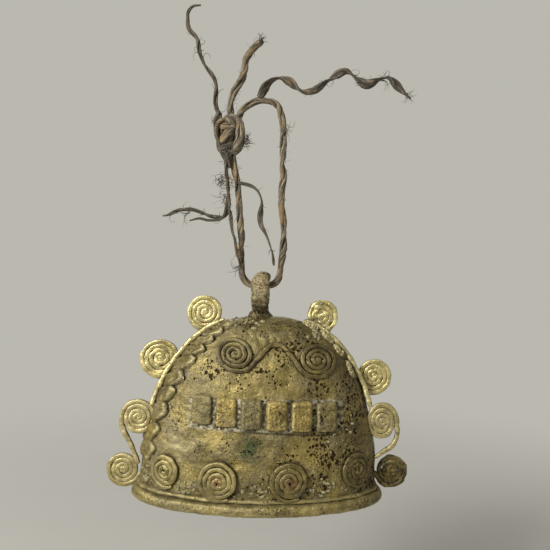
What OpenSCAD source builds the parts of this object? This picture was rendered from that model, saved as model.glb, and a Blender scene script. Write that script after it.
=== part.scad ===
// Hand bell of cast brass with an oval dome, applied wire scrolls, a crown loop,
// an iron clapper and a knotted hanging cord.
// +Z is up and the front faces -Y. The origin is the point where the cord bears on a hook.

/* [Dome] */
// Height of the dome from the mouth to the top, outside
dome_h = 105; // [90:1:126]
// Width of the dome just above the rim, left to right
dome_w = 139; // [120:1:167]
// Depth of the dome just above the rim, front to back
dome_d = 59; // [54:1:71]
// Thickness of the cast wall
wall = 3; // [2.5:0.1:3.6]
// Fullness of the dome's curve, 2 is an ellipse
dome_power = 2.3; // [2:0.05:2.6]
// Distance by which the hand-modelled dome leans to the right at its top
dome_lean = 3.5; // [0:0.5:5]

/* [Rim] */
// Height of the thick lip round the mouth
rim_h = 5.5; // [4.6:0.1:6.6]
// Distance by which the lip stands out from the dome
rim_out = 4.5; // [3:0.1:5.4]
// Height of the thin bead above the lip
bead_h = 2; // [1.5:0.1:2.4]
// Distance by which the bead stands out from the dome
bead_out = 2; // [1.5:0.1:2.4]

/* [Applied wires] */
// Thickness of the wax wire that the scrolls were rolled from
wire_d = 2.7; // [2.3:0.1:2.8]
// Distance between two turns of a scroll
turn_pitch = 3; // [2.9:0.1:3.6]
// Radius of a scroll on the side edge
edge_scroll_r = 10; // [8.5:0.1:10.5]
// Radius of the widest scroll on the left edge
wide_scroll_r = 11.2; // [9.5:0.1:11.4]
// Radius of a coil above the rim
coil_r = 10.3; // [8.6:0.1:12]
// Radius of a spiral at the end of the brow wire
brow_r = 9.2; // [7.7:0.1:9.5]
// Thickness of the thin wire along each ridge
ridge_wire_d = 2; // [1.7:0.1:2.4]
// Thickness of the ribbon over each side edge
ribbon_t = 1.2; // [1:0.1:1.5]

/* [Frieze] */
// Width of a plain raised tile
tile_w = 10.5; // [9:0.1:12]
// Height of a plain raised tile
tile_h = 15; // [12:0.1:18]
// Distance between the middles of two tiles
tile_pitch = 13.8; // [13.5:0.1:14]
// Thickness of a tile
tile_t = 1.5; // [1:0.1:2]

/* [Crown loop] */
// Radius of the eye that the cord passes through
eye_r = 7; // [6:0.1:8.4]
// Thickness of the ring round the eye
ring_t = 5.2; // [4.3:0.1:6.2]
// Width of the ring along the eye
ring_w = 10.5; // [8.8:0.1:10.8]
// Radius of the collar that joins the ring to the dome
collar_r = 8.5; // [7:0.1:10]
// Height of the dome's gap below the ring that the collar fills
neck_h = 1.8; // [1.5:0.1:2.2]

/* [Clapper] */
// Thickness of the staple, the link and the clapper's eye
link_wire_d = 3; // [2.5:0.1:3.2]
// Radius of the staple and of the clapper's eye, to the middle of the wire
staple_r = 5; // [4.8:0.1:6]
// Radius of the link, to the middle of the wire
link_r = 5.5; // [5.3:0.1:6.4]
// Length of the staple's straight legs
staple_leg = 4; // [3.8:0.1:5]
// Thickness of the clapper's rod
rod_d = 4.5; // [3.8:0.1:5.4]
// Distance from the link's foot to the middle of the bob
clapper_drop = 60; // [50:1:66]
// Radius of the clapper's bob
bob_r = 8; // [6.7:0.1:9]

/* [Hidden] */
// Seat gap between an applied piece and the face that carries it
seat = 0.35;
// Running gap between two loops that hang in each other
loop_gap = 0.3;
// Gap between the cord and the top of the eye
eye_gap = 0.4;
// Thickness of the hanging cord and of its thinner strands
cord_d = 4.4;
strand_d = 2.4;
strip_d = 4;
tail_d = 2.8;
// Point where the cord carries the bell, on the cord's middle line
eye_point = [-2, 0, -107.5];

// Route of the hanging cord, from the knot over the hook, down, through the eye and back up
cord_route = [
    [-19, 0, -12], [-14, 0, -3], [-7, 0, 1.5], [0, 0, 2.2], [6, 0, -1], [9, 0, -11],
    [9.5, 0, -22], [9.5, 0, -33], [10, 0, -43], [9, 0, -53], [9.5, 0, -63], [11, 0, -73],
    [11, 0, -84], [10, 0, -94], [9, 0, -102], [4.5, 0, -107.5], eye_point, [-8.5, 0, -107.5],
    [-13, 0, -102], [-14, 0, -92], [-14, 0, -81], [-15, 0, -70], [-16, 0, -59],
    [-17, 0, -49], [-19, 0, -39], [-21.5, 0, -28]];
// Route of the thin strand beside the cord's left side
companion_route = [
    [-24, -3, -27], [-23.5, -3.5, -43], [-22, -3.5, -56], [-20.5, -3.5, -68],
    [-18.5, -4, -79], [-16, -4.5, -89], [-13.5, -4.5, -99]];
// Routes of the loose ends
upper_tail_route = [
    [-27, 0, -12], [-31, 0, -1], [-31, 0, 8], [-32, 0, 14], [-37, 0, 21], [-41, 0, 29],
    [-43, 0, 38], [-48, 0, 44], [-49, 0, 52], [-46, 0, 57], [-41, 0, 58]];
hook_tail_route = [
    [-23, 0, -10], [-22, 1, 0], [-20, 2, 8], [-15, 3, 18], [-13.5, 3, 28], [-8.5, 3, 35],
    [-4, 3, 39]];
right_tail_route = [
    [-5, -2, 3], [0, -3, 11], [6, -3, 14.5], [12, -3, 13], [20, -3, 7], [28, -3, 8],
    [36, -3, 14], [46, -3, 19], [57, -3, 12], [70, -3, 16], [78, -3, 9], [84, -3, 4]];
middle_tail_route = [
    [-17, -1, -47], [-7, -4, -50.5], [-2.5, -4, -58], [-3, -4, -70], [1, -4, -79],
    [4.5, -5, -89], [5.5, -5, -96]];
lower_tail_route = [
    [-27, -1, -26], [-27, -1, -42], [-26.5, -1, -58], [-28, -1, -67], [-36, -1, -66],
    [-47, -1, -64], [-61, -1, -68]];
knot_centre = [-23, 0, -20];
knot_size = [17, 14, 25];

// Heights on the side edges where the scrolls are seated, from the crown down
left_seats = [98, 72, 40];
right_seats = [99, 64, 42];
left_radii = [edge_scroll_r, wide_scroll_r, edge_scroll_r];
right_radii = [edge_scroll_r - 0.5, edge_scroll_r - 0.5, edge_scroll_r - 0.5];
// Distance of each scroll in front of the side edge
left_forward = [0, 2, 8];
right_forward = [0, 0, 8];
// Height where the tail of the third scroll meets the side
tail_foot_h = 19;
// Middles of the coils above the rim, and the height they sit at
coil_places = [-50, -20, 19, 56];
coil_h = 21;
// Middle of the brow wire, half its span, the height of its spirals and of its peak
brow_x = 10;
brow_half_span = 23;
brow_h = 84;
brow_peak = 6.5;
// Middle of the row of tiles, and how much it falls from one tile to the next
tile_x = 4;
tile_row_h = 53;
tile_fall = 0.6;
tile_count = 6;
// Side ribbons: the angles that they span up the dome and round it, and the scallops
left_ribbon_span = [9, 74];
right_ribbon_span = [39, 74];
left_ribbon_reach = [33, 52];
right_ribbon_reach = [25, 22];
left_scallops = 7;
right_scallops = 4;
scallop_depth = 4;
// Thin ridge wires: the angles that they span up the dome and their angle round it
ridge_wire_span = [28, 73];
ridge_wire_turn = 13;

// The ring, the dome and the mouth hang from the point where the cord carries them
ring_r = eye_r + ring_t;
ring_z = eye_point.z - eye_r + cord_d / 2 + eye_gap;
dome_top_z = ring_z - ring_r - neck_h;
mouth_z = dome_top_z - dome_h;
half_w = dome_w / 2;
half_d = dome_d / 2;
// Heights inside the dome of the staple's bar, the link and the clapper's eye
roof_share = (staple_r + link_wire_d / 2 + dome_lean) / (half_w - wall);
roof_h = (dome_h - wall) * pow(1 - pow(roof_share, dome_power), 1 / dome_power);
staple_z = roof_h - seat - staple_leg - staple_r;
link_z = staple_z + link_wire_d + loop_gap - link_r;
link_foot_z = link_z - link_r;
clapper_eye_z = link_foot_z + link_wire_d + loop_gap - staple_r;
bob_z = link_foot_z - clapper_drop;
bead_z = rim_h + seat;
ribbon_lift = 2 * seat + ribbon_t;
// The lowest scrolls rest on the lip's corner and against the dome's side
low_reach = edge_scroll_r + seat - rim_out;
low_seat = rim_h + sqrt(pow(edge_scroll_r + 2 * seat, 2) - pow(low_reach, 2));
round_steps = 60;

function unit(v) = v / norm(v);
function lean(h) = dome_lean * h / dome_h;

// Share of the full width that is left at height h, for a skin lifted by off
function taper(h, off) = pow(max(0, 1 - pow(max(0, h) / (dome_h + off), dome_power)), 1 / dome_power);

// Point on the dome: t goes up from the mouth, turn goes round from the right side
function dome_point(t, turn, off) =
    let (c = pow(cos(t), 2 / dome_power), h = (dome_h + off) * pow(sin(t), 2 / dome_power))
    [lean(h) + (half_w + off) * c * cos(turn), (half_d + off) * c * sin(turn), h];

// Distance of the front or back face from the middle plane at place x, h
function face_y(x, h, off) =
    (half_d + off) * sqrt(max(0, pow(taper(h, off), 2) - pow((x - lean(h)) / (half_w + off), 2)));

// Distance of the side edge from the leaning middle line at height h, y in front of the edge
function side_x(h, y, off) =
    (half_w + off) * sqrt(max(0, pow(taper(h, off), 2) - pow(y / (half_d + off), 2)));

// Flat spiral from its middle out to radius r, ending at the angle end_turn
function spiral(r, end_turn) =
    let (outer = r - wire_d / 2, turns = (outer - wire_d / 2) / turn_pitch, steps = round(turns * 15))
    [for (i = [steps:-1:0])
        let (a = end_turn - 360 * turns * i / steps, q = outer - turn_pitch * turns * i / steps)
        [q * cos(a), q * sin(a)]];

// Tube along a route: ref is a direction that the route never follows
module sweep(route, ref, d, sides) {
    last = len(route) - 1;
    points = [for (i = [0:last])
        let (t = unit(route[min(i + 1, last)] - route[max(i - 1, 0)]),
             u = unit(cross(ref, t)),
             v = cross(t, u))
        for (k = [0:sides - 1]) route[i] + d / 2 * (cos(360 * k / sides) * u + sin(360 * k / sides) * v)];
    faces = concat(
        [[for (k = [0:sides - 1]) k]],
        [for (i = [0:last - 1], k = [0:sides - 1])
            let (a = i * sides + k, b = i * sides + (k + 1) % sides)
            each [[a, a + sides, b + sides], [a, b + sides, b]]],
        [[for (k = [sides - 1:-1:0]) last * sides + k]]);
    polyhedron(points, faces, convexity = 6);
}

// Closed slab between two grids of points: rows go up and columns go round to the right
module slab(outer, inner) {
    rows = len(outer);
    cols = len(outer[0]);
    n = rows * cols;
    points = concat([for (row = outer) each row], [for (row = inner) each row]);
    grid = [for (i = [0:rows - 2], j = [0:cols - 2])
        let (a = i * cols + j, b = a + 1, c = a + cols + 1, d = a + cols)
        each [[a, d, c], [a, c, b], [n + a, n + c, n + d], [n + a, n + b, n + c]]];
    ends = [for (j = [0:cols - 2])
        let (top = (rows - 1) * cols + j)
        each [[j, j + 1, n + j + 1], [j, n + j + 1, n + j],
              [top, n + top, n + top + 1], [top, n + top + 1, top + 1]]];
    sides = [for (i = [0:rows - 2])
        let (a = i * cols, b = a + cols, c = a + cols - 1, d = b + cols - 1)
        each [[a, n + a, n + b], [a, n + b, b], [c, d, n + d], [c, n + d, n + c]]];
    polyhedron(points, concat(grid, ends, sides), convexity = 4);
}

// Places a piece that is drawn from the middle of the bell's mouth
module in_bell() {
    translate([eye_point.x, eye_point.y, mouth_z]) children();
}

// Flat ring with oval outside and inside, from height z
module oval(a, b) {
    polygon([for (k = [0:119]) [a * cos(3 * k), b * sin(3 * k)]]);
}

module oval_ring(z, h, out, inside) {
    translate([0, 0, z])
        linear_extrude(h)
            difference() {
                oval(half_w + out, half_d + out);
                oval(half_w + inside, half_d + inside);
            }
}

module bell_shell() {
    outer_rows = 20;
    inner_rows = 14;
    outer = [for (i = [0:outer_rows - 1], k = [0:round_steps - 1])
        dome_point(90 * i / outer_rows, 360 * k / round_steps, 0)];
    inner = [for (i = [0:inner_rows - 1], k = [0:round_steps - 1])
        dome_point(90 * i / inner_rows, 360 * k / round_steps, -wall)];
    start = len(outer);
    poles = start + len(inner);
    points = concat(outer, inner, [dome_point(90, 0, 0)], [dome_point(90, 0, -wall)]);
    faces = concat(
        [for (i = [0:outer_rows - 2], k = [0:round_steps - 1])
            let (a = i * round_steps + k, b = i * round_steps + (k + 1) % round_steps)
            each [[a, a + round_steps, b + round_steps], [a, b + round_steps, b]]],
        [for (i = [0:inner_rows - 2], k = [0:round_steps - 1])
            let (a = start + i * round_steps + k, b = start + i * round_steps + (k + 1) % round_steps)
            each [[a, b + round_steps, a + round_steps], [a, b, b + round_steps]]],
        [for (k = [0:round_steps - 1])
            let (next = (k + 1) % round_steps, top = (outer_rows - 1) * round_steps,
                 roof = start + (inner_rows - 1) * round_steps)
            each [[top + k, poles, top + next], [roof + k, roof + next, poles + 1],
                  [k, next, start + next], [k, start + next, start + k]]]);
    color("darkkhaki") in_bell() polyhedron(points, faces, convexity = 4);
}

module rim_band() {
    color("goldenrod") in_bell() oval_ring(0, rim_h, rim_out, seat);
}

module rim_bead() {
    color("goldenrod") in_bell() oval_ring(bead_z, bead_h, bead_out, seat);
}

// Scalloped ribbon over one side edge: side is -1 for left and 1 for right
module seam_ribbon(side, span, reach, scallops) {
    rows = 6 * scallops;
    cols = 8;
    middle = side > 0 ? 0 : 180;
    function edge(i) = reach[0] + (reach[1] - reach[0]) * i / rows
        - scallop_depth * pow(abs(cos(180 * scallops * i / rows)), 3);
    function row(i, off) = [for (j = [0:cols])
        dome_point(span[0] + (span[1] - span[0]) * i / rows, middle + edge(i) * (2 * j / cols - 1), off)];
    in_bell() slab([for (i = [0:rows]) row(i, seat + ribbon_t)], [for (i = [0:rows]) row(i, seat)]);
}

module left_seam_ribbon() {
    color("darkkhaki") seam_ribbon(-1, left_ribbon_span, left_ribbon_reach, left_scallops);
}

module right_seam_ribbon() {
    color("darkkhaki") seam_ribbon(1, right_ribbon_span, right_ribbon_reach, right_scallops);
}

// Thin wire along one ridge, on the ribbon and in front of the scrolls
module ridge_wire(side) {
    steps = 16;
    off = ribbon_lift + ridge_wire_d / 2;
    turn = side > 0 ? -ridge_wire_turn : 180 + ridge_wire_turn;
    route = [for (i = [0:steps])
        dome_point(ridge_wire_span[0] + (ridge_wire_span[1] - ridge_wire_span[0]) * i / steps, turn, off)];
    in_bell() sweep(route, [0, 1, 0], ridge_wire_d, 6);
}

module left_ridge_wire() {
    color("gold") ridge_wire(-1);
}

module right_ridge_wire() {
    color("gold") ridge_wire(1);
}

// Middle of a scroll that touches the side edge at seat_h, lifted by off and y forward of it
function scroll_middle(side, seat_h, r, y, off) =
    let (near = max(0, y - wire_d / 4),
         foot = side_x(seat_h, near, off),
         slope = side_x(seat_h + 0.5, near, off) - side_x(seat_h - 0.5, near, off),
         out = unit([1, -slope]))
    [lean(seat_h) + side * (foot + r * out.x), -y, seat_h + r * out.y];

// Scroll in the middle plane of a side edge, with its outer end against the edge
module edge_scroll(side, seat_h, r, y, off) {
    middle = scroll_middle(side, seat_h, r, y, off);
    inward = asin((seat_h - middle.z) / r);
    route = [for (p = spiral(r, inward)) middle + [-side * p.x, 0, p.y]];
    in_bell() sweep(route, [0, 1, 0], wire_d, 6);
}

// Scroll whose outer end runs on down to the side of the bell as a tail
module tailed_scroll(side, seat_h, r, y, off) {
    middle = scroll_middle(side, seat_h, r - turn_pitch / 2, y, off);
    fall = middle.z - tail_foot_h;
    end_x = side_x(tail_foot_h, max(0, y - wire_d / 4), seat) + wire_d / 2;
    reach = side * (middle.x - lean(tail_foot_h)) - end_x;
    tail = [[-r, -0.3 * fall], [-0.85 * r, -0.5 * fall], [-0.4 * r, -0.7 * fall],
            [reach - wire_d * 1.2, -0.9 * fall], [reach, -fall]];
    route = [for (p = concat(spiral(r, 190), tail)) middle + [-side * p.x, 0, p.y]];
    in_bell() sweep(route, [0, 1, 0], wire_d, 6);
}

module left_scroll_1() {
    color("gold") edge_scroll(-1, left_seats[0], left_radii[0], left_forward[0], ribbon_lift);
}

module left_scroll_2() {
    color("gold") edge_scroll(-1, left_seats[1], left_radii[1], left_forward[1], ribbon_lift);
}

module left_scroll_3() {
    color("gold") tailed_scroll(-1, left_seats[2], left_radii[2], left_forward[2], ribbon_lift);
}

module left_scroll_4() {
    color("gold") edge_scroll(-1, low_seat, edge_scroll_r, 0, seat);
}

module right_scroll_1() {
    color("gold") edge_scroll(1, right_seats[0], right_radii[0], right_forward[0], ribbon_lift);
}

module right_scroll_2() {
    color("gold") edge_scroll(1, right_seats[1], right_radii[1], right_forward[1], seat);
}

module right_scroll_3() {
    color("gold") tailed_scroll(1, right_seats[2], right_radii[2], right_forward[2], seat);
}

module right_scroll_4() {
    color("gold") edge_scroll(1, low_seat, edge_scroll_r, 0, seat);
}

// Coil laid flat on the front (face -1) or the back (face 1) of the dome
module face_coil(face, x) {
    y = face * face_y(x, coil_h, 0);
    dy_dx = face * (face_y(x + 0.5, coil_h, 0) - face_y(x - 0.5, coil_h, 0));
    dy_dh = face * (face_y(x, coil_h + 0.5, 0) - face_y(x, coil_h - 0.5, 0));
    normal = unit(-face * [dy_dx, -1, dy_dh]);
    up = unit([0, 0, 1] - normal.z * normal);
    across = cross(up, normal);
    middle = [x, y, coil_h] + normal * (seat + wire_d / 2);
    route = [for (p = spiral(coil_r, -60)) middle + p.x * across + p.y * up];
    in_bell() sweep(route, normal, wire_d, 6);
}

module front_coil_1() {
    color("goldenrod") face_coil(-1, coil_places[0]);
}

module front_coil_2() {
    color("goldenrod") face_coil(-1, coil_places[1]);
}

module front_coil_3() {
    color("goldenrod") face_coil(-1, coil_places[2]);
}

module front_coil_4() {
    color("goldenrod") face_coil(-1, coil_places[3]);
}

module back_coil_1() {
    color("goldenrod") face_coil(1, coil_places[0]);
}

module back_coil_2() {
    color("goldenrod") face_coil(1, coil_places[1]);
}

module back_coil_3() {
    color("goldenrod") face_coil(1, coil_places[2]);
}

module back_coil_4() {
    color("goldenrod") face_coil(1, coil_places[3]);
}

// One wire with a spiral at each end and a peak between them, laid on the dome's face
module brow_scroll(face) {
    s = brow_half_span;
    link = [[-0.68 * s, -0.8 * brow_r], [-0.42 * s, -0.1 * brow_r], [-0.2 * s, 0.7 * brow_peak]];
    half = concat([for (p = spiral(brow_r, -90)) [p.x - s, p.y]], link);
    whole = concat(half, [[0, brow_peak]], [for (i = [len(half) - 1:-1:0]) [-half[i].x, half[i].y]]);
    route = [for (p = whole)
        let (x = brow_x + p.x, h = brow_h + p.y)
        [x, face * face_y(x, h, seat + wire_d / 2 * 1.25), h]];
    in_bell() sweep(route, [0, 1, 0], wire_d, 6);
}

module front_brow_scroll() {
    color("goldenrod") brow_scroll(-1);
}

module back_brow_scroll() {
    color("goldenrod") brow_scroll(1);
}

// Plain raised tile of the frieze on the front, number i from the left
module frieze_tile(i) {
    x = tile_x + tile_pitch * (i - (tile_count - 1) / 2);
    h = tile_row_h - tile_fall * (i - (tile_count - 1) / 2);
    function row(v, off) = [for (u = [0:4])
        let (px = x + tile_w * (u / 4 - 0.5), ph = h + tile_h * (v / 4 - 0.5))
        [px, -face_y(px, ph, off), ph]];
    in_bell() slab([for (v = [0:4]) row(v, seat + tile_t)], [for (v = [0:4]) row(v, seat)]);
}

module tile_1() {
    color("darkkhaki") frieze_tile(0);
}

module tile_2() {
    color("darkkhaki") frieze_tile(1);
}

module tile_3() {
    color("darkkhaki") frieze_tile(2);
}

module tile_4() {
    color("darkkhaki") frieze_tile(3);
}

module tile_5() {
    color("darkkhaki") frieze_tile(4);
}

module tile_6() {
    color("darkkhaki") frieze_tile(5);
}

// Ring with a round eye along X, with softened edges
module crown_loop() {
    edge = ring_t / 3;
    color("darkkhaki")
        translate([eye_point.x, eye_point.y, ring_z])
            rotate([0, 90, 0])
                rotate_extrude($fn = 96)
                    polygon([
                        [eye_r, -ring_w / 2], [ring_r - edge, -ring_w / 2], [ring_r, edge - ring_w / 2],
                        [ring_r, ring_w / 2 - edge], [ring_r - edge, ring_w / 2], [eye_r, ring_w / 2]]);
}

// Saddle that joins the ring to the top of the dome
module crown_collar() {
    color("dimgray")
        difference() {
            translate([eye_point.x, eye_point.y, dome_top_z + seat])
                cylinder(r1 = collar_r, r2 = collar_r - 1.5, h = neck_h + ring_t / 2, $fn = 72);
            translate([eye_point.x, eye_point.y, ring_z])
                rotate([0, 90, 0])
                    cylinder(r = ring_r + seat, h = 4 * collar_r, center = true, $fn = 96);
        }
}

// U-shaped staple inside the crown, with its opening along Y
module inner_staple() {
    color("saddlebrown")
        in_bell()
            translate([0, 0, staple_z + staple_r]) {
                rotate([90, 0, 0])
                    rotate([0, 0, 180])
                        rotate_extrude(angle = 180, $fn = 72)
                            translate([staple_r, 0]) circle(d = link_wire_d, $fn = 32);
                for (side = [-1, 1])
                    translate([side * staple_r, 0, 0])
                        cylinder(d = link_wire_d, h = staple_leg, $fn = 32);
            }
}

// Link that hangs in the staple and swings front to back
module clapper_link() {
    color("dimgray")
        in_bell()
            translate([0, 0, link_z])
                rotate([0, 90, 0])
                    rotate_extrude($fn = 72)
                        translate([link_r, 0]) circle(d = link_wire_d, $fn = 32);
}

// Rod with an eye that hangs in the link and swings left to right
module clapper_rod() {
    rod_top = clapper_eye_z - staple_r;
    color("dimgray")
        in_bell() {
            translate([0, 0, clapper_eye_z])
                rotate([90, 0, 0])
                    rotate_extrude($fn = 72)
                        translate([staple_r, 0]) circle(d = link_wire_d, $fn = 32);
            translate([0, 0, bob_z + bob_r + seat])
                cylinder(d = rod_d, h = rod_top - bob_z - bob_r - seat, $fn = 48);
        }
}

module clapper_bob() {
    color("dimgray") in_bell() translate([0, 0, bob_z]) sphere(r = bob_r, $fn = 72);
}

module cord_loop() {
    color("saddlebrown") sweep(cord_route, [0, 1, 0], cord_d, 8);
}

module cord_knot() {
    color("saddlebrown")
        translate(knot_centre)
            scale(knot_size / knot_size.z)
                sphere(d = knot_size.z, $fn = 72);
}

module companion_strand() {
    color("saddlebrown") sweep(companion_route, [0, 1, 0], strand_d, 8);
}

module upper_tail() {
    color("saddlebrown") sweep(upper_tail_route, [0, 1, 0], tail_d, 8);
}

module hook_tail() {
    color("saddlebrown") sweep(hook_tail_route, [0, 1, 0], strip_d, 8);
}

module right_tail() {
    color("saddlebrown") sweep(right_tail_route, [0, 1, 0], strip_d, 8);
}

module middle_tail() {
    color("saddlebrown") sweep(middle_tail_route, [0, 1, 0], strand_d, 8);
}

module lower_tail() {
    color("saddlebrown") sweep(lower_tail_route, [0, 1, 0], strand_d, 8);
}

bell_shell();
rim_band();
rim_bead();
left_seam_ribbon();
right_seam_ribbon();
left_ridge_wire();
right_ridge_wire();
left_scroll_1();
left_scroll_2();
left_scroll_3();
left_scroll_4();
right_scroll_1();
right_scroll_2();
right_scroll_3();
right_scroll_4();
front_coil_1();
front_coil_2();
front_coil_3();
front_coil_4();
back_coil_1();
back_coil_2();
back_coil_3();
back_coil_4();
front_brow_scroll();
back_brow_scroll();
tile_1();
tile_2();
tile_3();
tile_4();
tile_5();
tile_6();
crown_loop();
crown_collar();
inner_staple();
clapper_link();
clapper_rod();
clapper_bob();
cord_loop();
cord_knot();
companion_strand();
upper_tail();
hook_tail();
right_tail();
middle_tail();
lower_tail();
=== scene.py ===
import math
import random

import bpy
from mathutils import Matrix, Quaternion, Vector, noise


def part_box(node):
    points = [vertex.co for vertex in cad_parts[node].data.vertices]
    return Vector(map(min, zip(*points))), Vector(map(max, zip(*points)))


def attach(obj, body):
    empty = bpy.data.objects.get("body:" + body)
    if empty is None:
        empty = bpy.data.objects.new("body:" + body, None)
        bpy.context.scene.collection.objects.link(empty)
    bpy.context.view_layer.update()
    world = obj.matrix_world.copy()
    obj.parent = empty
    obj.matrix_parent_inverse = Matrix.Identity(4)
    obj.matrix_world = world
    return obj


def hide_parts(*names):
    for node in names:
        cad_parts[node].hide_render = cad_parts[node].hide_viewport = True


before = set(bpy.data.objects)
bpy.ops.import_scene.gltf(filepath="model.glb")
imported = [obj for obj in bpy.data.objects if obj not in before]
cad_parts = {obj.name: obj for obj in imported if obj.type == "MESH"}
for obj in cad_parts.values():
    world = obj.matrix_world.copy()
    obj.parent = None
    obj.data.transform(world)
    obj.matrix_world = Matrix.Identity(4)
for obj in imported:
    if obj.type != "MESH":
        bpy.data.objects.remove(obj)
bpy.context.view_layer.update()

MM = 0.001

# The bell's own sizes, read from the frame. Lengths are in metres.
SHELL_LOW, SHELL_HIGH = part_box("bell_shell")
RIM_LOW, RIM_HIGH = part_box("rim_band")
BEAD_LOW, BEAD_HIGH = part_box("rim_bead")
LOOP_LOW, LOOP_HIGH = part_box("crown_loop")
COLLAR_LOW, COLLAR_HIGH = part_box("crown_collar")
MOUTH_Z = SHELL_LOW[2]
MIDDLE_X = (SHELL_LOW[0] + SHELL_HIGH[0]) / 2
DOME_H = SHELL_HIGH[2] - MOUTH_Z
HALF_W = (SHELL_HIGH[0] - SHELL_LOW[0]) / 2
HALF_D = (SHELL_HIGH[1] - SHELL_LOW[1]) / 2
WALL = 3 * MM
DOME_POWER = 2.3
DOME_LEAN = 3.5 * MM
WIRE_R = 1.45 * MM
TURN_PITCH = 2.6 * MM
FACE_Y = -28 * MM       # about where the front face is, for the stains and painted shade on it


# ---------------------------------------------------------------- camera and light

def add_camera():
    """Camera level with the crown, straight in front, rolled a little."""
    data = bpy.data.cameras.new("camera")
    data.lens = 34.69
    data.sensor_width = 36
    data.clip_start = 0.01
    camera = bpy.data.objects.new("camera", data)
    camera.location = (6.3 * MM, -315 * MM, -101.5 * MM)
    camera.rotation_euler = (math.radians(90), math.radians(-1.2), 0)
    bpy.context.collection.objects.link(camera)
    bpy.context.scene.camera = camera


def add_lamp(name, place, aim, size, watts):
    """Square soft box that looks from place to aim."""
    data = bpy.data.lights.new(name, "AREA")
    data.size = size
    data.energy = watts
    lamp = bpy.data.objects.new(name, data)
    lamp.location = place
    lamp.rotation_euler = (Vector(aim) - Vector(place)).to_track_quat("-Z", "Y").to_euler()
    bpy.context.collection.objects.link(lamp)


# ---------------------------------------------------------------- materials

def srgb(code, alpha=1.0):
    """Linear colour of an sRGB hex code such as 8A8157."""
    parts = [int(code[i:i + 2], 16) / 255 for i in (0, 2, 4)]
    return [p / 12.92 if p <= 0.04045 else ((p + 0.055) / 1.055) ** 2.4 for p in parts] + [alpha]


def per(size_mm):
    """Texture scale that repeats once in size_mm on Object coordinates."""
    return 1 / (size_mm * MM)


def add(tree, kind, inputs=None, ramp=None, **settings):
    """Adds a node: settings are its own values, inputs are numbers or sockets to link."""
    node = tree.nodes.new(kind)
    for key, value in settings.items():
        setattr(node, key, value)
    if ramp:
        elements = node.color_ramp.elements
        while len(elements) < len(ramp):
            elements.new(0.5)
        for element, (place, code) in zip(elements, ramp):
            element.position = place
            element.color = srgb(code)
    for key, value in (inputs or {}).items():
        if isinstance(value, bpy.types.NodeSocket):
            tree.links.new(value, node.inputs[key])
        else:
            node.inputs[key].default_value = value
    return node


def new_material(name):
    """Empty material, with its tree, its shader and the place in the frame."""
    material = bpy.data.materials.new(name)
    material.use_nodes = True
    tree = material.node_tree
    shader = tree.nodes["Principled BSDF"]
    place = add(tree, "ShaderNodeTexCoord").outputs["Object"]
    return material, tree, shader, place


def patch_mask(tree, place, centre, radius_mm, rag_mm):
    """Mask that is 1 at centre and fades out at a ragged edge radius_mm away."""
    wander = add(tree, "ShaderNodeTexNoise", {"Vector": place, "Scale": per(5), "Detail": 4})
    away = add(tree, "ShaderNodeVectorMath", {0: place, 1: centre}, operation="DISTANCE")
    ragged = add(tree, "ShaderNodeMath", {0: wander.outputs["Fac"], 1: rag_mm * MM,
                                          2: away.outputs["Value"]}, operation="MULTIPLY_ADD")
    reach = (radius_mm + rag_mm / 2) * MM
    return add(tree, "ShaderNodeMapRange", {
        "Value": ragged.outputs[0], "From Min": reach * 0.55, "From Max": reach,
        "To Min": 1.0, "To Max": 0.0}, interpolation_type="SMOOTHSTEP").outputs["Result"]


def pit_layer(tree, place, cell_mm, size, crowd):
    """Gas pits of one size: a Voronoi cell holds a pit where crowd says so."""
    wobble = add(tree, "ShaderNodeTexNoise", {"Vector": place, "Scale": per(cell_mm * 0.5), "Detail": 2})
    bent = add(tree, "ShaderNodeVectorMath", {
        0: wobble.outputs["Color"], 1: (cell_mm * 0.5 * MM,) * 3, 2: place}, operation="MULTIPLY_ADD")
    cells = add(tree, "ShaderNodeTexVoronoi", {"Vector": bent.outputs[0], "Scale": per(cell_mm)})
    reach = add(tree, "ShaderNodeMapRange", {
        "Value": crowd, "From Min": 0.4, "From Max": 0.68, "To Min": 0.01, "To Max": size})
    depth = add(tree, "ShaderNodeMath", {0: reach.outputs["Result"], 1: cells.outputs["Distance"]},
                operation="SUBTRACT")
    return add(tree, "ShaderNodeMapRange", {
        "Value": depth.outputs[0], "From Min": -0.03, "From Max": 0.07}).outputs["Result"]


def gas_pits(tree, place, size):
    """Round pits that gas left in the casting, thickest in patches and towards the bell's right."""
    crowd = add(tree, "ShaderNodeTexNoise", {"Vector": place, "Scale": per(15), "Detail": 3})
    across = add(tree, "ShaderNodeSeparateXYZ", {"Vector": place})
    rightward = add(tree, "ShaderNodeMapRange", {
        "Value": across.outputs["X"], "From Min": MIDDLE_X - HALF_W * 0.6, "From Max": MIDDLE_X + HALF_W,
        "To Min": -0.05, "To Max": 0.17})
    crowding = add(tree, "ShaderNodeMath", {0: crowd.outputs["Fac"], 1: rightward.outputs["Result"]})
    coarse = pit_layer(tree, place, 2.7, size, crowding.outputs[0])
    fine = pit_layer(tree, place, 1.3, size * 0.9, crowding.outputs[0])
    return add(tree, "ShaderNodeMath", {0: coarse, 1: fine}, operation="MAXIMUM").outputs[0]


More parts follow.
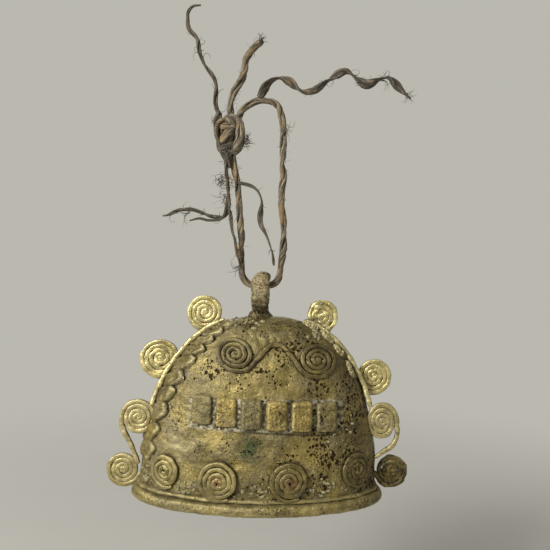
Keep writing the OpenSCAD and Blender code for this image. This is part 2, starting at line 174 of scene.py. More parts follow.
def cast_brass(name, tones, groove, edge, pit_size, rough, metal, bloom_share=0.5, stains_and_shade=(), ground=False,
               grit_mm=0.8, grit_strength=0.6, stipple_share=0.4, swell_height=1.5):
    """Lost-wax cast brass, left as cast: cloudy patina, gas pits, dirt and painted shade in the grooves,
    rubbed edges.
    """
    material, tree, shader, place = new_material(name)
    cloud = add(tree, "ShaderNodeTexNoise", {
        "Vector": place, "Scale": per(24), "Detail": 8, "Roughness": 0.65, "Distortion": 0.6})
    colour = add(tree, "ShaderNodeValToRGB", {"Fac": cloud.outputs["Fac"]}, ramp=tones).outputs["Color"]

    # Streaks round the bell, where the wax was wiped smooth by hand
    stretched = add(tree, "ShaderNodeMapping", {"Vector": place, "Scale": (0.22, 0.22, 1.0)})
    streak = add(tree, "ShaderNodeTexNoise", {
        "Vector": stretched.outputs[0], "Scale": per(2.6), "Detail": 6, "Roughness": 0.65})
    streaks = add(tree, "ShaderNodeValToRGB", {"Fac": streak.outputs["Fac"]},
                  ramp=[(0.34, "5C5236"), (0.58, "FFFFFF")])
    colour = add(tree, "ShaderNodeMixRGB", {
        "Fac": 0.45, "Color1": colour, "Color2": streaks.outputs["Color"]},
        blend_type="MULTIPLY").outputs["Color"]

    # Grey bloom of dry oxide and dust, and the fine grain of the mould
    bloom = add(tree, "ShaderNodeTexNoise", {
        "Vector": place, "Scale": per(11), "Detail": 9, "Roughness": 0.72})
    bloomed = add(tree, "ShaderNodeMapRange", {
        "Value": bloom.outputs["Fac"], "From Min": 0.49, "From Max": 0.62, "To Max": bloom_share})
    colour = add(tree, "ShaderNodeMixRGB", {
        "Fac": bloomed.outputs["Result"], "Color1": colour, "Color2": srgb("8A7E63")}).outputs["Color"]
    grit = add(tree, "ShaderNodeTexNoise", {
        "Vector": place, "Scale": per(grit_mm), "Detail": 5, "Roughness": 0.65})
    stipple = add(tree, "ShaderNodeValToRGB", {"Fac": grit.outputs["Fac"]},
                  ramp=[(0.36, "3A3A3A"), (0.5, "808080"), (0.64, "D8D8D8")])
    colour = add(tree, "ShaderNodeMixRGB", {
        "Fac": stipple_share, "Color1": colour, "Color2": stipple.outputs["Color"]},
        blend_type="OVERLAY").outputs["Color"]
    # Real stains, and on the body also painted shade on the right and round the crown
    for x, h, radius, rag, share, code in stains_and_shade:
        middle = (MIDDLE_X + x * MM, FACE_Y, MOUTH_Z + h * MM)
        stain_and_shade = patch_mask(tree, place, middle, radius, rag)
        stain_and_shade = add(tree, "ShaderNodeMath", {0: stain_and_shade, 1: share}, operation="MULTIPLY")
        colour = add(tree, "ShaderNodeMixRGB", {
            "Fac": stain_and_shade.outputs[0], "Color1": colour, "Color2": srgb(code)}).outputs["Color"]
    # The plates' gritty ground, and a painted shadow line under their strip
    if ground:
        colour = gritty_ground_and_shadow_line(tree, place, colour)

    # The pits are dark, dull and bare of metal
    pit = gas_pits(tree, place, pit_size)
    colour = add(tree, "ShaderNodeMixRGB", {
        "Fac": pit, "Color1": colour, "Color2": srgb("2A1F10")}).outputs["Color"]
    glint = add(tree, "ShaderNodeMapRange", {"Value": pit, "To Min": 0.5, "To Max": 0.02})
    tree.links.new(glint.outputs["Result"], shader.inputs["Specular IOR Level"])

    # Dirt and painted shade in the grooves, and bare metal on the edges
    closed = add(tree, "ShaderNodeAmbientOcclusion", {"Distance": 3.0 * MM}, samples=12)
    # Painted shade: darker where ambient occlusion finds the surface closed in
    dirt_and_shade = add(tree, "ShaderNodeMapRange", {
        "Value": closed.outputs["AO"], "From Min": 0.3, "From Max": 0.88, "To Min": 0.95, "To Max": 0.0})
    colour = add(tree, "ShaderNodeMixRGB", {
        "Fac": dirt_and_shade.outputs["Result"], "Color1": colour, "Color2": srgb(groove)}).outputs["Color"]
    # Dirt and painted shade along the sides of the wire, where neighbouring turns meet
    mark = add(tree, "ShaderNodeAttribute", attribute_name="groove").outputs["Fac"]
    packed_dirt_and_shade = add(tree, "ShaderNodeMapRange", {
        "Value": mark, "From Min": 0.74, "From Max": 0.93, "To Max": 0.9})
    colour = add(tree, "ShaderNodeMixRGB", {
        "Fac": packed_dirt_and_shade.outputs["Result"], "Color1": colour, "Color2": srgb(groove)}).outputs["Color"]
    bend = add(tree, "ShaderNodeNewGeometry").outputs["Pointiness"]
    rubbed = add(tree, "ShaderNodeMapRange", {
        "Value": bend, "From Min": 0.51, "From Max": 0.56, "To Max": 0.7})
    worn = add(tree, "ShaderNodeMath", {0: rubbed.outputs["Result"], 1: streak.outputs["Fac"], 2: 0.0},
               operation="MULTIPLY_ADD")
    colour = add(tree, "ShaderNodeMixRGB", {
        "Fac": worn.outputs[0], "Color1": colour, "Color2": srgb(edge)}).outputs["Color"]
    tree.links.new(colour, shader.inputs["Base Color"])

    # Broad swells pressed by fingers, the casting's skin, its grain and the pits
    skin = add(tree, "ShaderNodeTexNoise", {"Vector": place, "Scale": per(3.6), "Detail": 4})
    swell = add(tree, "ShaderNodeTexNoise", {"Vector": place, "Scale": per(11), "Detail": 2})
    height = add(tree, "ShaderNodeMath", {0: skin.outputs["Fac"], 1: 2.0, 2: grit.outputs["Fac"]},
                 operation="MULTIPLY_ADD")
    height = add(tree, "ShaderNodeMath", {0: swell.outputs["Fac"], 1: swell_height, 2: height.outputs[0]},
                 operation="MULTIPLY_ADD")
    pitted = add(tree, "ShaderNodeMath", {0: pit, 1: -2.4, 2: height.outputs[0]}, operation="MULTIPLY_ADD")
    bump = add(tree, "ShaderNodeBump", {
        "Height": pitted.outputs[0], "Strength": grit_strength, "Distance": 0.45 * MM})
    tree.links.new(bump.outputs["Normal"], shader.inputs["Normal"])
    dull = add(tree, "ShaderNodeMapRange", {
        "Value": bloom.outputs["Fac"], "From Min": 0.35, "From Max": 0.65,
        "To Min": rough - 0.1, "To Max": rough + 0.16})
    tree.links.new(dull.outputs["Result"], shader.inputs["Roughness"])
    shine = add(tree, "ShaderNodeMapRange", {"Value": pit, "To Min": metal, "To Max": 0.0})
    tree.links.new(shine.outputs["Result"], shader.inputs["Metallic"])
    return material


def gritty_ground_and_shadow_line(tree, place, colour):
    """Pale rough ground between the plates, where the casting sand was never cleaned off, and a painted
    shadow line under their strip.
    """
    parts = add(tree, "ShaderNodeSeparateXYZ", {"Vector": place})
    share = 1.0
    for axis, middle, half in (("X", MIDDLE_X + 5 * MM, 40 * MM), ("Z", MOUTH_Z + 52.5 * MM, 8 * MM)):
        away = add(tree, "ShaderNodeMath", {0: parts.outputs[axis], 1: middle}, operation="SUBTRACT")
        away = add(tree, "ShaderNodeMath", {0: away.outputs[0]}, operation="ABSOLUTE")
        inside = add(tree, "ShaderNodeMapRange", {
            "Value": away.outputs[0], "From Min": half, "From Max": half * 1.12,
            "To Min": 1.0, "To Max": 0.0})
        share = add(tree, "ShaderNodeMath", {0: inside.outputs["Result"], 1: share}, operation="MULTIPLY")
        share = share.outputs[0]
    front = add(tree, "ShaderNodeMath", {0: parts.outputs["Y"], 1: 0.0}, operation="LESS_THAN")
    share = add(tree, "ShaderNodeMath", {0: share, 1: front.outputs[0]}, operation="MULTIPLY").outputs[0]
    specks = add(tree, "ShaderNodeTexNoise", {"Vector": place, "Scale": per(2.2), "Detail": 5})
    specks = add(tree, "ShaderNodeValToRGB", {"Fac": specks.outputs["Fac"]},
                 ramp=[(0.4, "3A3120"), (0.52, "7F765C"), (0.62, "ADA58C")])
    colour = add(tree, "ShaderNodeMixRGB", {
        "Fac": share, "Color1": colour, "Color2": specks.outputs["Color"]}).outputs["Color"]

    # Painted shadow: a dark line under the plates' strip on the dome, falling a little to the right
    across = parts.outputs["X"]
    foot = add(tree, "ShaderNodeMath", {0: across, 1: 0.045, 2: parts.outputs["Z"]},
               operation="MULTIPLY_ADD")
    foot = add(tree, "ShaderNodeMath", {0: foot.outputs[0], 1: MOUTH_Z + 43.4 * MM}, operation="SUBTRACT")
    foot = add(tree, "ShaderNodeMath", {0: foot.outputs[0]}, operation="ABSOLUTE")
    line = add(tree, "ShaderNodeMapRange", {
        "Value": foot.outputs[0], "From Min": 0.25 * MM, "From Max": 0.8 * MM,
        "To Min": 0.85, "To Max": 0.0}).outputs["Result"]
    begins = add(tree, "ShaderNodeMapRange", {
        "Value": across, "From Min": -12 * MM, "From Max": -4 * MM}).outputs["Result"]
    ends = add(tree, "ShaderNodeMapRange", {
        "Value": across, "From Min": 42 * MM, "From Max": 47 * MM,
        "To Min": 1.0, "To Max": 0.0}).outputs["Result"]
    for limit in (begins, ends, front.outputs[0]):
        line = add(tree, "ShaderNodeMath", {0: line, 1: limit}, operation="MULTIPLY").outputs[0]
    return add(tree, "ShaderNodeMixRGB", {
        "Fac": line, "Color1": colour, "Color2": srgb("2A2315")}).outputs["Color"]


def forged_iron():
    """Forged iron with a dark, slightly waxy scale and a breath of rust."""
    material, tree, shader, place = new_material("forged_iron_scaled")
    cloud = add(tree, "ShaderNodeTexNoise", {"Vector": place, "Scale": per(6), "Detail": 6})
    colour = add(tree, "ShaderNodeValToRGB", {"Fac": cloud.outputs["Fac"]},
                 ramp=[(0.3, "1D1A18"), (0.55, "332C28"), (0.72, "57402F")])
    tree.links.new(colour.outputs["Color"], shader.inputs["Base Color"])
    scale = add(tree, "ShaderNodeTexNoise", {"Vector": place, "Scale": per(1.2), "Detail": 5})
    bump = add(tree, "ShaderNodeBump", {
        "Height": scale.outputs["Fac"], "Strength": 0.6, "Distance": 0.4 * MM})
    tree.links.new(bump.outputs["Normal"], shader.inputs["Normal"])
    shader.inputs["Metallic"].default_value = 0.6
    shader.inputs["Roughness"].default_value = 0.58
    return material


def bark_fibre(name, tones, amber):
    """Hand-twisted bark fibre: fine hairs run along the cord, dark between them, painted shade where
    strands close in, dusty outside.
    """
    material, tree, shader, place = new_material(name)
    along = add(tree, "ShaderNodeUVMap", uv_map="along").outputs["UV"]
    # One unit of the map is a millimetre along the cord and one turn round it
    hairs = add(tree, "ShaderNodeMapping", {"Vector": along, "Scale": (0.16, 9.0, 1.0)})
    hair = add(tree, "ShaderNodeTexNoise", {
        "Vector": hairs.outputs[0], "Scale": 1.0, "Detail": 6, "Roughness": 0.65})
    colour = add(tree, "ShaderNodeValToRGB", {"Fac": hair.outputs["Fac"]}, ramp=tones).outputs["Color"]
    tint = add(tree, "ShaderNodeTexNoise", {"Vector": place, "Scale": per(14), "Detail": 3})
    golden = add(tree, "ShaderNodeMapRange", {
        "Value": tint.outputs["Fac"], "From Min": 0.48, "From Max": 0.62, "To Max": amber})
    colour = add(tree, "ShaderNodeMixRGB", {
        "Fac": golden.outputs["Result"], "Color1": colour, "Color2": srgb("8A6B38")}).outputs["Color"]
    # Painted shade where the strands close in on each other
    closed = add(tree, "ShaderNodeAmbientOcclusion", {"Distance": 1.6 * MM}, samples=8)
    gap = add(tree, "ShaderNodeMapRange", {
        "Value": closed.outputs["AO"], "From Min": 0.3, "From Max": 0.85, "To Min": 0.85, "To Max": 0.0})
    colour = add(tree, "ShaderNodeMixRGB", {
        "Fac": gap.outputs["Result"], "Color1": colour, "Color2": srgb("15100C")}).outputs["Color"]
    tree.links.new(colour, shader.inputs["Base Color"])
    bump = add(tree, "ShaderNodeBump", {
        "Height": hair.outputs["Fac"], "Strength": 0.9, "Distance": 0.5 * MM})
    tree.links.new(bump.outputs["Normal"], shader.inputs["Normal"])
    shader.inputs["Roughness"].default_value = 0.86
    shader.inputs["Sheen Weight"].default_value = 0.15
    return material


BODY_TONES = [(0.26, "574C2C"), (0.42, "7A6D40"), (0.56, "94844B"), (0.72, "AD984D")]
RUBBED_TONES = [(0.26, "8C7B42"), (0.44, "B9A865"), (0.62, "D6C889"), (0.78, "E6DBAA")]
DULL_WIRE_TONES = [(0.26, "776A3A"), (0.46, "A0905A"), (0.66, "C4B47C")]
LIP_TONES = [(0.28, "554A27"), (0.46, "7A6B39"), (0.62, "9B8848"), (0.78, "B8A768")]
COIL_TONES = [(0.26, "554B2B"), (0.46, "7C6F3F"), (0.66, "A39359")]
# Painted shade: a darker copy of the coil tones
SHADED_COIL_TONES = [(0.26, "322B15"), (0.46, "514625"), (0.66, "7D6E3B")]
PLATE_TONES = [(0.28, "7A6B3E"), (0.46, "A48E48"), (0.64, "CBB163")]
CRUMB_TONES = [(0.3, "5E5638"), (0.5, "8A8058"), (0.7, "A89F78")]
CRUST_TONES = [(0.3, "453A26"), (0.46, "80704A"), (0.62, "B3A073")]
FIBRE_TONES = [(0.36, "1D1811"), (0.48, "504634"), (0.6, "84775F"), (0.72, "B3A687")]
DARK_FIBRE_TONES = [(0.36, "120F0A"), (0.5, "3A3225"), (0.66, "756A53")]

# Stains and painted shade on the front: place from the middle of the mouth, radius, raggedness in mm,
# strength, colour
BODY_STAINS_AND_SHADE = [
    (8, 70, 24, 20, 0.4, "8A793E"),     # polished by hands, above the plates
    (30, 34, 16, 18, 0.5, "8C7A3E"),    # polished, low right
    (-46, 34, 15, 16, 0.5, "9A8F6C"),   # pale grey patch, low left
    (-24, 40, 10, 14, 0.6, "A08D52"),   # bare golden patch
    (-3, 35, 9, 15, 0.95, "3C4522"),    # verdigris
    (62, 40, 22, 24, 0.25, "5A4E33"),   # darker brown on the right: painted shade away from the key light
    (5, 6, 40, 26, 0.2, "4E4528"),      # grime above the lip
    (4, 104, 30, 14, 0.4, "56512F")]    # dark round the crown: painted shade on the dome's top and crust
COIL_STAINS = [(-20, 17.4, 6.4, 2, 0.9, "6B3A1E"), (18.5, 18, 5.8, 2, 0.8, "5F3A20"),
               (33, 83, 2.4, 4, 0.8, "6B4432")]


def make_materials():
    """One material for each finish on the real bell."""
    return {
        "body": cast_brass("cast_brass_patinated", BODY_TONES, "1C180D", "C4B88A",
                           0.4, 0.44, 0.5, stains_and_shade=BODY_STAINS_AND_SHADE, ground=True, grit_strength=0.8,
                           stipple_share=0.55, swell_height=8.0),
        "wire": cast_brass("cast_brass_rubbed", RUBBED_TONES, "3C3014", "F0E6B4",
                           0.12, 0.36, 0.6, bloom_share=0.12),
        "dull_wire": cast_brass("cast_brass_less_rubbed", DULL_WIRE_TONES, "33290F", "DCD09C",
                                0.2, 0.42, 0.55, bloom_share=0.3),
        "lip": cast_brass("cast_brass_handled", LIP_TONES, "241E0E", "D0C289",
                          0.36, 0.4, 0.55, bloom_share=0.3, grit_strength=0.75, stipple_share=0.65,
                          swell_height=4.0),
        "coil": cast_brass("cast_brass_half_rubbed", COIL_TONES, "18130A", "C9BA80",
                           0.22, 0.42, 0.52, bloom_share=0.2, stains_and_shade=COIL_STAINS),
        # Painted shade: the coil brass made darker for the right-hand coils and scroll, the brows and the
        # crown's foot
        "shaded_coil": cast_brass("cast_brass_painted_shade", SHADED_COIL_TONES, "140F07", "9C8C55",
                                0.3, 0.44, 0.48, bloom_share=0.2, stains_and_shade=COIL_STAINS),
        "plate": cast_brass("cast_brass_plates_golden", PLATE_TONES, "120E07", "C9B878",
                            0.3, 0.44, 0.5, bloom_share=0.2, grit_strength=0.85, stipple_share=0.7,
                            swell_height=4.0),
        "dull_plate": cast_brass("cast_brass_plates_dull", COIL_TONES, "120E07", "A89C6E",
                                 0.3, 0.5, 0.4, bloom_share=0.4, grit_strength=0.85, stipple_share=0.7,
                                 swell_height=4.0),
        "crust": cast_brass("cast_brass_crusted", CRUST_TONES, "1C170D", "D2C296",
                            0.14, 0.6, 0.35, grit_mm=1.1, grit_strength=1.0, stipple_share=0.8),
        "crumbs": cast_brass("cast_brass_unfiled", CRUMB_TONES, "2A2314", "A39A70",
                             0.1, 0.6, 0.3, bloom_share=0.6, stipple_share=0.7),
        "iron": forged_iron(),
        "fibre": bark_fibre("bark_fibre_twisted", FIBRE_TONES, 0.42),
        "dark_fibre": bark_fibre("bark_fibre_dark", DARK_FIBRE_TONES, 0.12),
    }


# ---------------------------------------------------------------- geometry of the dome

def unit_taper(h, off):
    """Share of the full width that is left at height h, for a skin lifted by off."""
    share = min(1.0, max(0.0, h / (DOME_H + off)))
    return max(0.0, 1 - share ** DOME_POWER) ** (1 / DOME_POWER)


def lean(h):
    """How far the dome leans to the right at height h."""
    return DOME_LEAN * h / DOME_H


def at_mouth(x, y, h):
    """Point in the frame of a place measured from the middle of the mouth."""
    return Vector((MIDDLE_X + x, y, MOUTH_Z + h))


def dome_point(climb, turn, off):
    """Point on the dome: climb goes up from the mouth and turn round from the right, in degrees."""
    c = math.cos(math.radians(climb)) ** (2 / DOME_POWER)
    h = (DOME_H + off) * math.sin(math.radians(climb)) ** (2 / DOME_POWER)
    a = math.radians(turn)
    return at_mouth(lean(h) + (HALF_W + off) * c * math.cos(a), (HALF_D + off) * c * math.sin(a), h)


def face_point(face, x, h, off):
    """Point on the front (face -1) or back (face 1) of the dome at place x, h."""
    flat = unit_taper(h, off) ** 2 - ((x - lean(h)) / (HALF_W + off)) ** 2
    return at_mouth(x, face * (HALF_D + off) * math.sqrt(max(0.0, flat)), h)


def side_x(h, y, off):
    """Distance of the side edge from the leaning middle line, y in front of the edge."""
    return (HALF_W + off) * math.sqrt(max(0.0, unit_taper(h, off) ** 2 - (y / (HALF_D + off)) ** 2))


def spiral(r, pitch, end_turn, inner=-0.35, steps_per_turn=30):
    """Flat spiral out to radius r, ending at the angle end_turn in degrees.

    It starts inner wire radii from the middle; a negative start runs the wire across the middle."""
    outer = r - WIRE_R
    turns = (outer - inner * WIRE_R) / pitch
    steps = round(turns * steps_per_turn)
    points = []
    for i in range(steps, -1, -1):
        a = math.radians(end_turn - 360 * turns * i / steps)
        q = outer - pitch * turns * i / steps
        points.append((q * math.cos(a), q * math.sin(a)))
    return points


# ---------------------------------------------------------------- modelling helpers

def finish_piece(piece, name, body, material, nodes, smooth=50):
    """Names a piece, gives it its material, smooths it, hangs it on its body and hides the nodes it stands
    for.
    """
    piece.name = name
    piece.data.name = name
    piece.data.materials.clear()
    piece.data.materials.append(material)
    bpy.ops.object.select_all(action="DESELECT")
    piece.select_set(True)
    bpy.context.view_layer.objects.active = piece
    bpy.ops.object.shade_smooth_by_angle(angle=math.radians(smooth))
    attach(piece, body)
    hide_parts(*nodes)
    return piece


def lumps(piece, size_mm, height_mm, seed):
    """Presses hand-made lumps into a piece: soft clouds of size_mm, up to height_mm high."""
    half = height_mm * MM
    shift = Vector((seed * 7.3, seed * 3.1, seed * 5.7))
    mesh = piece.data
    normals = [v.normal.copy() for v in mesh.vertices]
    for vertex, normal in zip(mesh.vertices, normals):
        vertex.co += normal * half * noise.fractal(vertex.co * per(size_mm) + shift, 0.9, 2.0, 3)
    mesh.update()


def begin_edit(select):
    """Opens the active piece for editing by its vertices, with all or none of them selected."""
    bpy.ops.object.mode_set(mode="EDIT")
    bpy.ops.mesh.select_mode(type="VERT")
    bpy.ops.mesh.select_all(action=select)


def face_outward():
    """Turns all faces outward and closes the piece for editing."""
    bpy.ops.mesh.select_all(action="SELECT")
    bpy.ops.mesh.normals_make_consistent(inside=False)
    bpy.ops.object.mode_set(mode="OBJECT")


def add_wall(piece, thickness, offset):
    """Gives a skin its wall and turns every face outward."""
    wall = piece.modifiers.new("wall", "SOLIDIFY")
    wall.thickness = thickness
    wall.offset = offset
    bpy.context.view_layer.objects.active = piece
    bpy.ops.object.modifier_apply(modifier="wall")
    begin_edit("SELECT")
    face_outward()


def loft(rings, vertices, closed=False):
    """Raises an oval shell ring by ring. A ring is (half width, half depth, x, z) from the mouth."""
    bpy.ops.object.select_all(action="DESELECT")
    a, b, x, z = rings[0]
    bpy.ops.mesh.primitive_circle_add(vertices=vertices, radius=1, location=(0, 0, 0))
    piece = bpy.context.object
    begin_edit("SELECT")
    bpy.ops.transform.resize(value=(a, b, 1), center_override=(0, 0, 0))
    here = at_mouth(x, 0, z)
    bpy.ops.transform.translate(value=here)
    for a2, b2, x2, z2 in rings[1:]:
        there = at_mouth(x2, 0, z2)
        bpy.ops.mesh.extrude_edges_move(TRANSFORM_OT_translate={"value": there - here})
        bpy.ops.transform.resize(value=(a2 / a, b2 / b, 1), center_override=there)
        a, b, here = a2, b2, there
    if closed:
        bpy.ops.mesh.select_all(action="SELECT")
        bpy.ops.mesh.remove_doubles(threshold=1e-6)
    else:
        bpy.ops.mesh.edge_face_add()
    face_outward()
    return piece


def tube_faces(start, n, ring):
    """Faces of a closed tube of n rings whose vertices begin at start, and each corner's (row, place)."""
    faces, marks = [], []
    for i in range(n - 1):
        for k in range(ring):
            a, b = start + i * ring + k, start + i * ring + (k + 1) % ring
            faces.append((a, b, b + ring, a + ring))
            marks.append([(i, k), (i, k + 1), (i + 1, k + 1), (i + 1, k)])
    faces.append(tuple(start + k for k in reversed(range(ring))))
    marks.append([(0, k) for k in reversed(range(ring))])
    faces.append(tuple(start + (n - 1) * ring + k for k in range(ring)))
    marks.append([(n - 1, k) for k in range(ring)])
    return faces, marks


def add_mesh(name, vertices, faces):
    """New object of its own mesh, in the scene."""
    mesh = bpy.data.meshes.new(name)
    mesh.from_pydata(vertices, [], faces)
    piece = bpy.data.objects.new(name, mesh)
    bpy.context.collection.objects.link(piece)
    return piece


def wire(points, radii, ring=12, ref=Vector((0, 1, 0)), squash=1.0):
    """Wire along points, as thick as radii say, flattened across the plane by squash.

    Its groove mark is 1 along the two sides, where neighbouring turns meet, and 0 on top."""
    n = len(points)
    vertices, marks = [], []
    for i, point in enumerate(points):
        t = (points[min(i + 1, n - 1)] - points[max(i - 1, 0)]).normalized()
        side = ref.cross(t).normalized()
        up = t.cross(side)
        for k in range(ring):
            a = 2 * math.pi * k / ring
            across = math.copysign(abs(math.cos(a)) ** 0.7, math.cos(a))
            rise = math.copysign(abs(math.sin(a)) ** 0.7, math.sin(a))
            vertices.append(point + radii[i] * (across * side + squash * rise * up))
            marks.append(abs(across))
    piece = add_mesh("wire", vertices, tube_faces(0, n, ring)[0])
    layer = piece.data.attributes.new("groove", "FLOAT", "POINT")
    layer.data.foreach_set("value", marks)
    return piece


def rolled(points, r, start_thin=0.5, end_thin=0.6, taper=6):
    """Radii of a rolled wax wire: even, with a rounded start and end."""
    n = len(points)
    radii = []
    for i in range(n):
        head = min(1.0, start_thin + (1 - start_thin) * math.sqrt(min(1.0, i / taper)))
        tail = min(1.0, end_thin + (1 - end_thin) * math.sqrt(min(1.0, (n - 1 - i) / taper)))
        radii.append(r * head * tail)
    return radii


# ---------------------------------------------------------------- the cast bell

def make_shell(materials):
    """Dome with its wall: raised ring by ring, then walled, then pressed with hand lumps."""
    rows = 84
    rings = []
    for i in range(rows):
        climb = 90 * i / rows
        c = math.cos(math.radians(climb)) ** (2 / DOME_POWER)
        h = DOME_H * math.sin(math.radians(climb)) ** (2 / DOME_POWER)
        rings.append((HALF_W * c, HALF_D * c, lean(h), h))
    piece = loft(rings, 240)
    # Only the round end faces are poked
    begin_edit("DESELECT")
    bpy.ops.object.mode_set(mode="OBJECT")
    for polygon in piece.data.polygons:
        polygon.select = len(polygon.vertices) > 4
    bpy.ops.object.mode_set(mode="EDIT")
    bpy.ops.mesh.select_mode(type="FACE")
    bpy.ops.mesh.poke()
    face_outward()
    wall = piece.modifiers.new("wall", "SOLIDIFY")
    wall.thickness = WALL
    wall.offset = -1
    bpy.context.view_layer.objects.active = piece
    bpy.ops.object.modifier_apply(modifier="wall")
    lumps(piece, 18, 0.55, 1)
    lumps(piece, 5, 0.22, 2)
    flatten_below(piece, MOUTH_Z)
    return finish_piece(piece, "bell_dome", "bell", materials["body"], ["bell_shell"])


def flatten_below(piece, z):
    """Lays whatever the lumps pushed under a level flat on it."""
    for vertex in piece.data.vertices:
        vertex.co.z = max(vertex.co.z, z)
    piece.data.update()


def make_lip(name, node, low, high, profile, materials, seed):
    """Band round the mouth. The profile is (share of its stand-out, share of its height)."""
    out = (high[0] - low[0]) / 2 - HALF_W
    tall = high[2] - low[2]
    base = low[2] - MOUTH_Z
    rings = [(HALF_W + u * out, HALF_D + u * out, 0, base + v * tall) for u, v in profile]
    piece = loft(rings + [rings[0]], 240, closed=True)
    lumps(piece, 9, 0.45, seed)
    lumps(piece, 2.6, 0.2, seed + 1)
    flatten_below(piece, MOUTH_Z)
    return finish_piece(piece, name, "bell", materials["lip"], [node], smooth=60)


LIP_PROFILE = [(-0.3, 0.02), (0.5, 0.0), (0.88, 0.02), (0.98, 0.14), (0.98, 0.34), (0.9, 0.6),
               (0.78, 0.82), (0.6, 0.95), (0.35, 1.0), (-0.3, 1.0)]
BEAD_PROFILE = [(-0.6, 0.0), (0.35, 0.0), (0.62, 0.12), (0.72, 0.4), (0.66, 0.7), (0.45, 0.95),
                (0.15, 1.1), (-0.6, 1.1)]


def ribbon(name, node, side, span, reach, scallops, materials, seed):
    """Pinched ribbon over a side edge: it swells between the thumb marks and tucks in at them."""
    rows, cols = 24 * scallops, 48
    middle = 0 if side > 0 else 180
    bpy.ops.object.select_all(action="DESELECT")
    bpy.ops.mesh.primitive_grid_add(x_subdivisions=cols, y_subdivisions=rows, size=2)
    piece = bpy.context.object
    rng = random.Random(seed)
    bites = [rng.uniform(0.6, 1.3) for _ in range(scallops + 2)]
    for vertex in piece.data.vertices:
        v, u = vertex.co.x, (vertex.co.y + 1) / 2
        drift = noise.noise(Vector((u * 4.2, seed, 0)))
        lobe = u * scallops + 0.34 * drift + 0.3 * (1 - abs(v))
        bite = bites[min(scallops + 1, max(0, int(lobe + 0.5)))]
        open_share = abs(math.sin(math.pi * lobe)) ** 0.75
        pinch = (1 - open_share) * bite
        edge = reach[0] + (reach[1] - reach[0]) * u - 8 * pinch
        edge += 3.2 * noise.noise(Vector((u * 19, seed, 7))) + 1.2 * noise.noise(Vector((u * 60, seed, 9)))
        climb = span[0] + (span[1] - span[0]) * u
        out = min(abs(v) / 0.95, 1.0) - 0.05 * max(0.0, abs(v) - 0.95) / 0.05
        rise = min(1.0, max(0.0, (1 - abs(v)) / 0.05)) * min(1.0, u / 0.02, (1 - u) / 0.02)
        fold = 0.7 + 0.5 * math.exp(-((abs(v) - 0.88) / 0.1) ** 2)
        crease = 0.55 * math.exp(-(open_share / 0.4) ** 2) * bite
        lift = -0.6 + 2.9 * rise * fold * (1 - crease)
        vertex.co = dome_point(climb, middle + edge * math.copysign(out, v), lift * MM)
    add_wall(piece, 0.8 * MM, -1)
    lumps(piece, 5, 0.6, seed)
    lumps(piece, 1.8, 0.24, seed + 1)
    return finish_piece(piece, name, "bell", materials["body"], [node], smooth=60)


def ridge(name, node, side, span, turn, materials, seed):
    """Bright wire pressed along the silhouette; it thins and wanders as it was pressed on."""
    steps = 110
    middle = -turn if side > 0 else 180 + turn
    points = []
    for i in range(steps + 1):
        wander = 2.5 * noise.noise(Vector((i * 0.06, seed, 0)))
        points.append(dome_point(span[0] + (span[1] - span[0]) * i / steps, middle + wander, 2.1 * MM))
    radii = rolled(points, 1.5 * MM, 0.25, 0.3, 14)
    radii = [r * (1 + 0.3 * noise.noise(Vector((i * 0.13, seed, 5)))) for i, r in enumerate(radii)]
    piece = wire(points, radii)
    lumps(piece, 3, 0.3, seed)
    lumps(piece, 1.4, 0.15, seed + 1)
    return finish_piece(piece, name, "bell", materials["wire"], [node])


def edge_scroll(name, side, x, h, r, y, foot_turn, materials, seed, tail=None, stretch=(1, 1),
                finish="wire", rag=0.16):
    """Scroll rolled flat beside the bell; foot_turn points from its middle to where it is joined on."""
    flat = spiral(r * MM, TURN_PITCH, 190 if tail else foot_turn)
    flat = [(p * stretch[0], q * stretch[1]) for p, q in flat]
    if tail:
        flat = flat + [(tx * MM, ty * MM) for tx, ty in tail]
        flat = smooth_flat(flat, len(flat) - len(tail) - 1)
    else:
        a = math.radians(foot_turn)
        for step in (1.2, 2.6):
            end_x, end_h = flat[-1]
            flat.append((end_x + step * MM * math.cos(a + 0.9), end_h + step * MM * math.sin(a + 0.9)))
    points = [at_mouth(x * MM - side * p, -y * MM, h * MM + q) for p, q in flat]
    thick = rolled(points, WIRE_R, 0.7, 0.4 if tail else 0.9, 20 if tail else 6)
    thick = [t * (1 + rag * noise.noise(Vector((i * 0.07, seed, 2)))) for i, t in enumerate(thick)]
    piece = wire(points, thick, ring=18, squash=0.78)
    lumps(piece, 4, 2 * rag, seed)
    lumps(piece, 1.6, 0.9 * rag, seed + 1)
    return finish_piece(piece, name + "_roll", "bell", materials[finish], [name])


def smooth_flat(points, first):
    """Rounds the tail of a flat route by cutting its corners three times."""
    head, rest = points[:first], points[first:]
    for _ in range(3):
        cut = [rest[0]]
        for (ax, ay), (bx, by) in zip(rest, rest[1:]):
            cut += [(0.75 * ax + 0.25 * bx, 0.75 * ay + 0.25 * by),
                    (0.25 * ax + 0.75 * bx, 0.25 * ay + 0.75 * by)]
        rest = cut + [rest[-1]]
    return head + rest


def face_coil(name, face, x, h, r, cone, inner, look, materials, seed):
    """Coil laid on the face of the dome, rising to its middle like a limpet."""
    x, h, r = x * MM, h * MM, r * MM
    slope = (face_point(face, x + MM, h, 0).y - face_point(face, x - MM, h, 0).y) / (2 * MM)
    narrow = 1 / math.sqrt(1 + slope ** 2)
    flat = spiral(r, TURN_PITCH, -60, inner)
    points = []
    for u, v in flat:
        away = math.hypot(u, v) / r
        points.append(face_point(face, x + u * narrow, h + v, (0.9 + cone * (1 - away)) * MM))
    piece = wire(points, rolled(points, WIRE_R, 0.8, 0.5, 10), ring=18, squash=0.85)
    lumps(piece, 4, 0.4, seed)
    lumps(piece, 1.6, 0.18, seed + 1)
    return finish_piece(piece, name + "_roll", "bell", materials[look], [name])


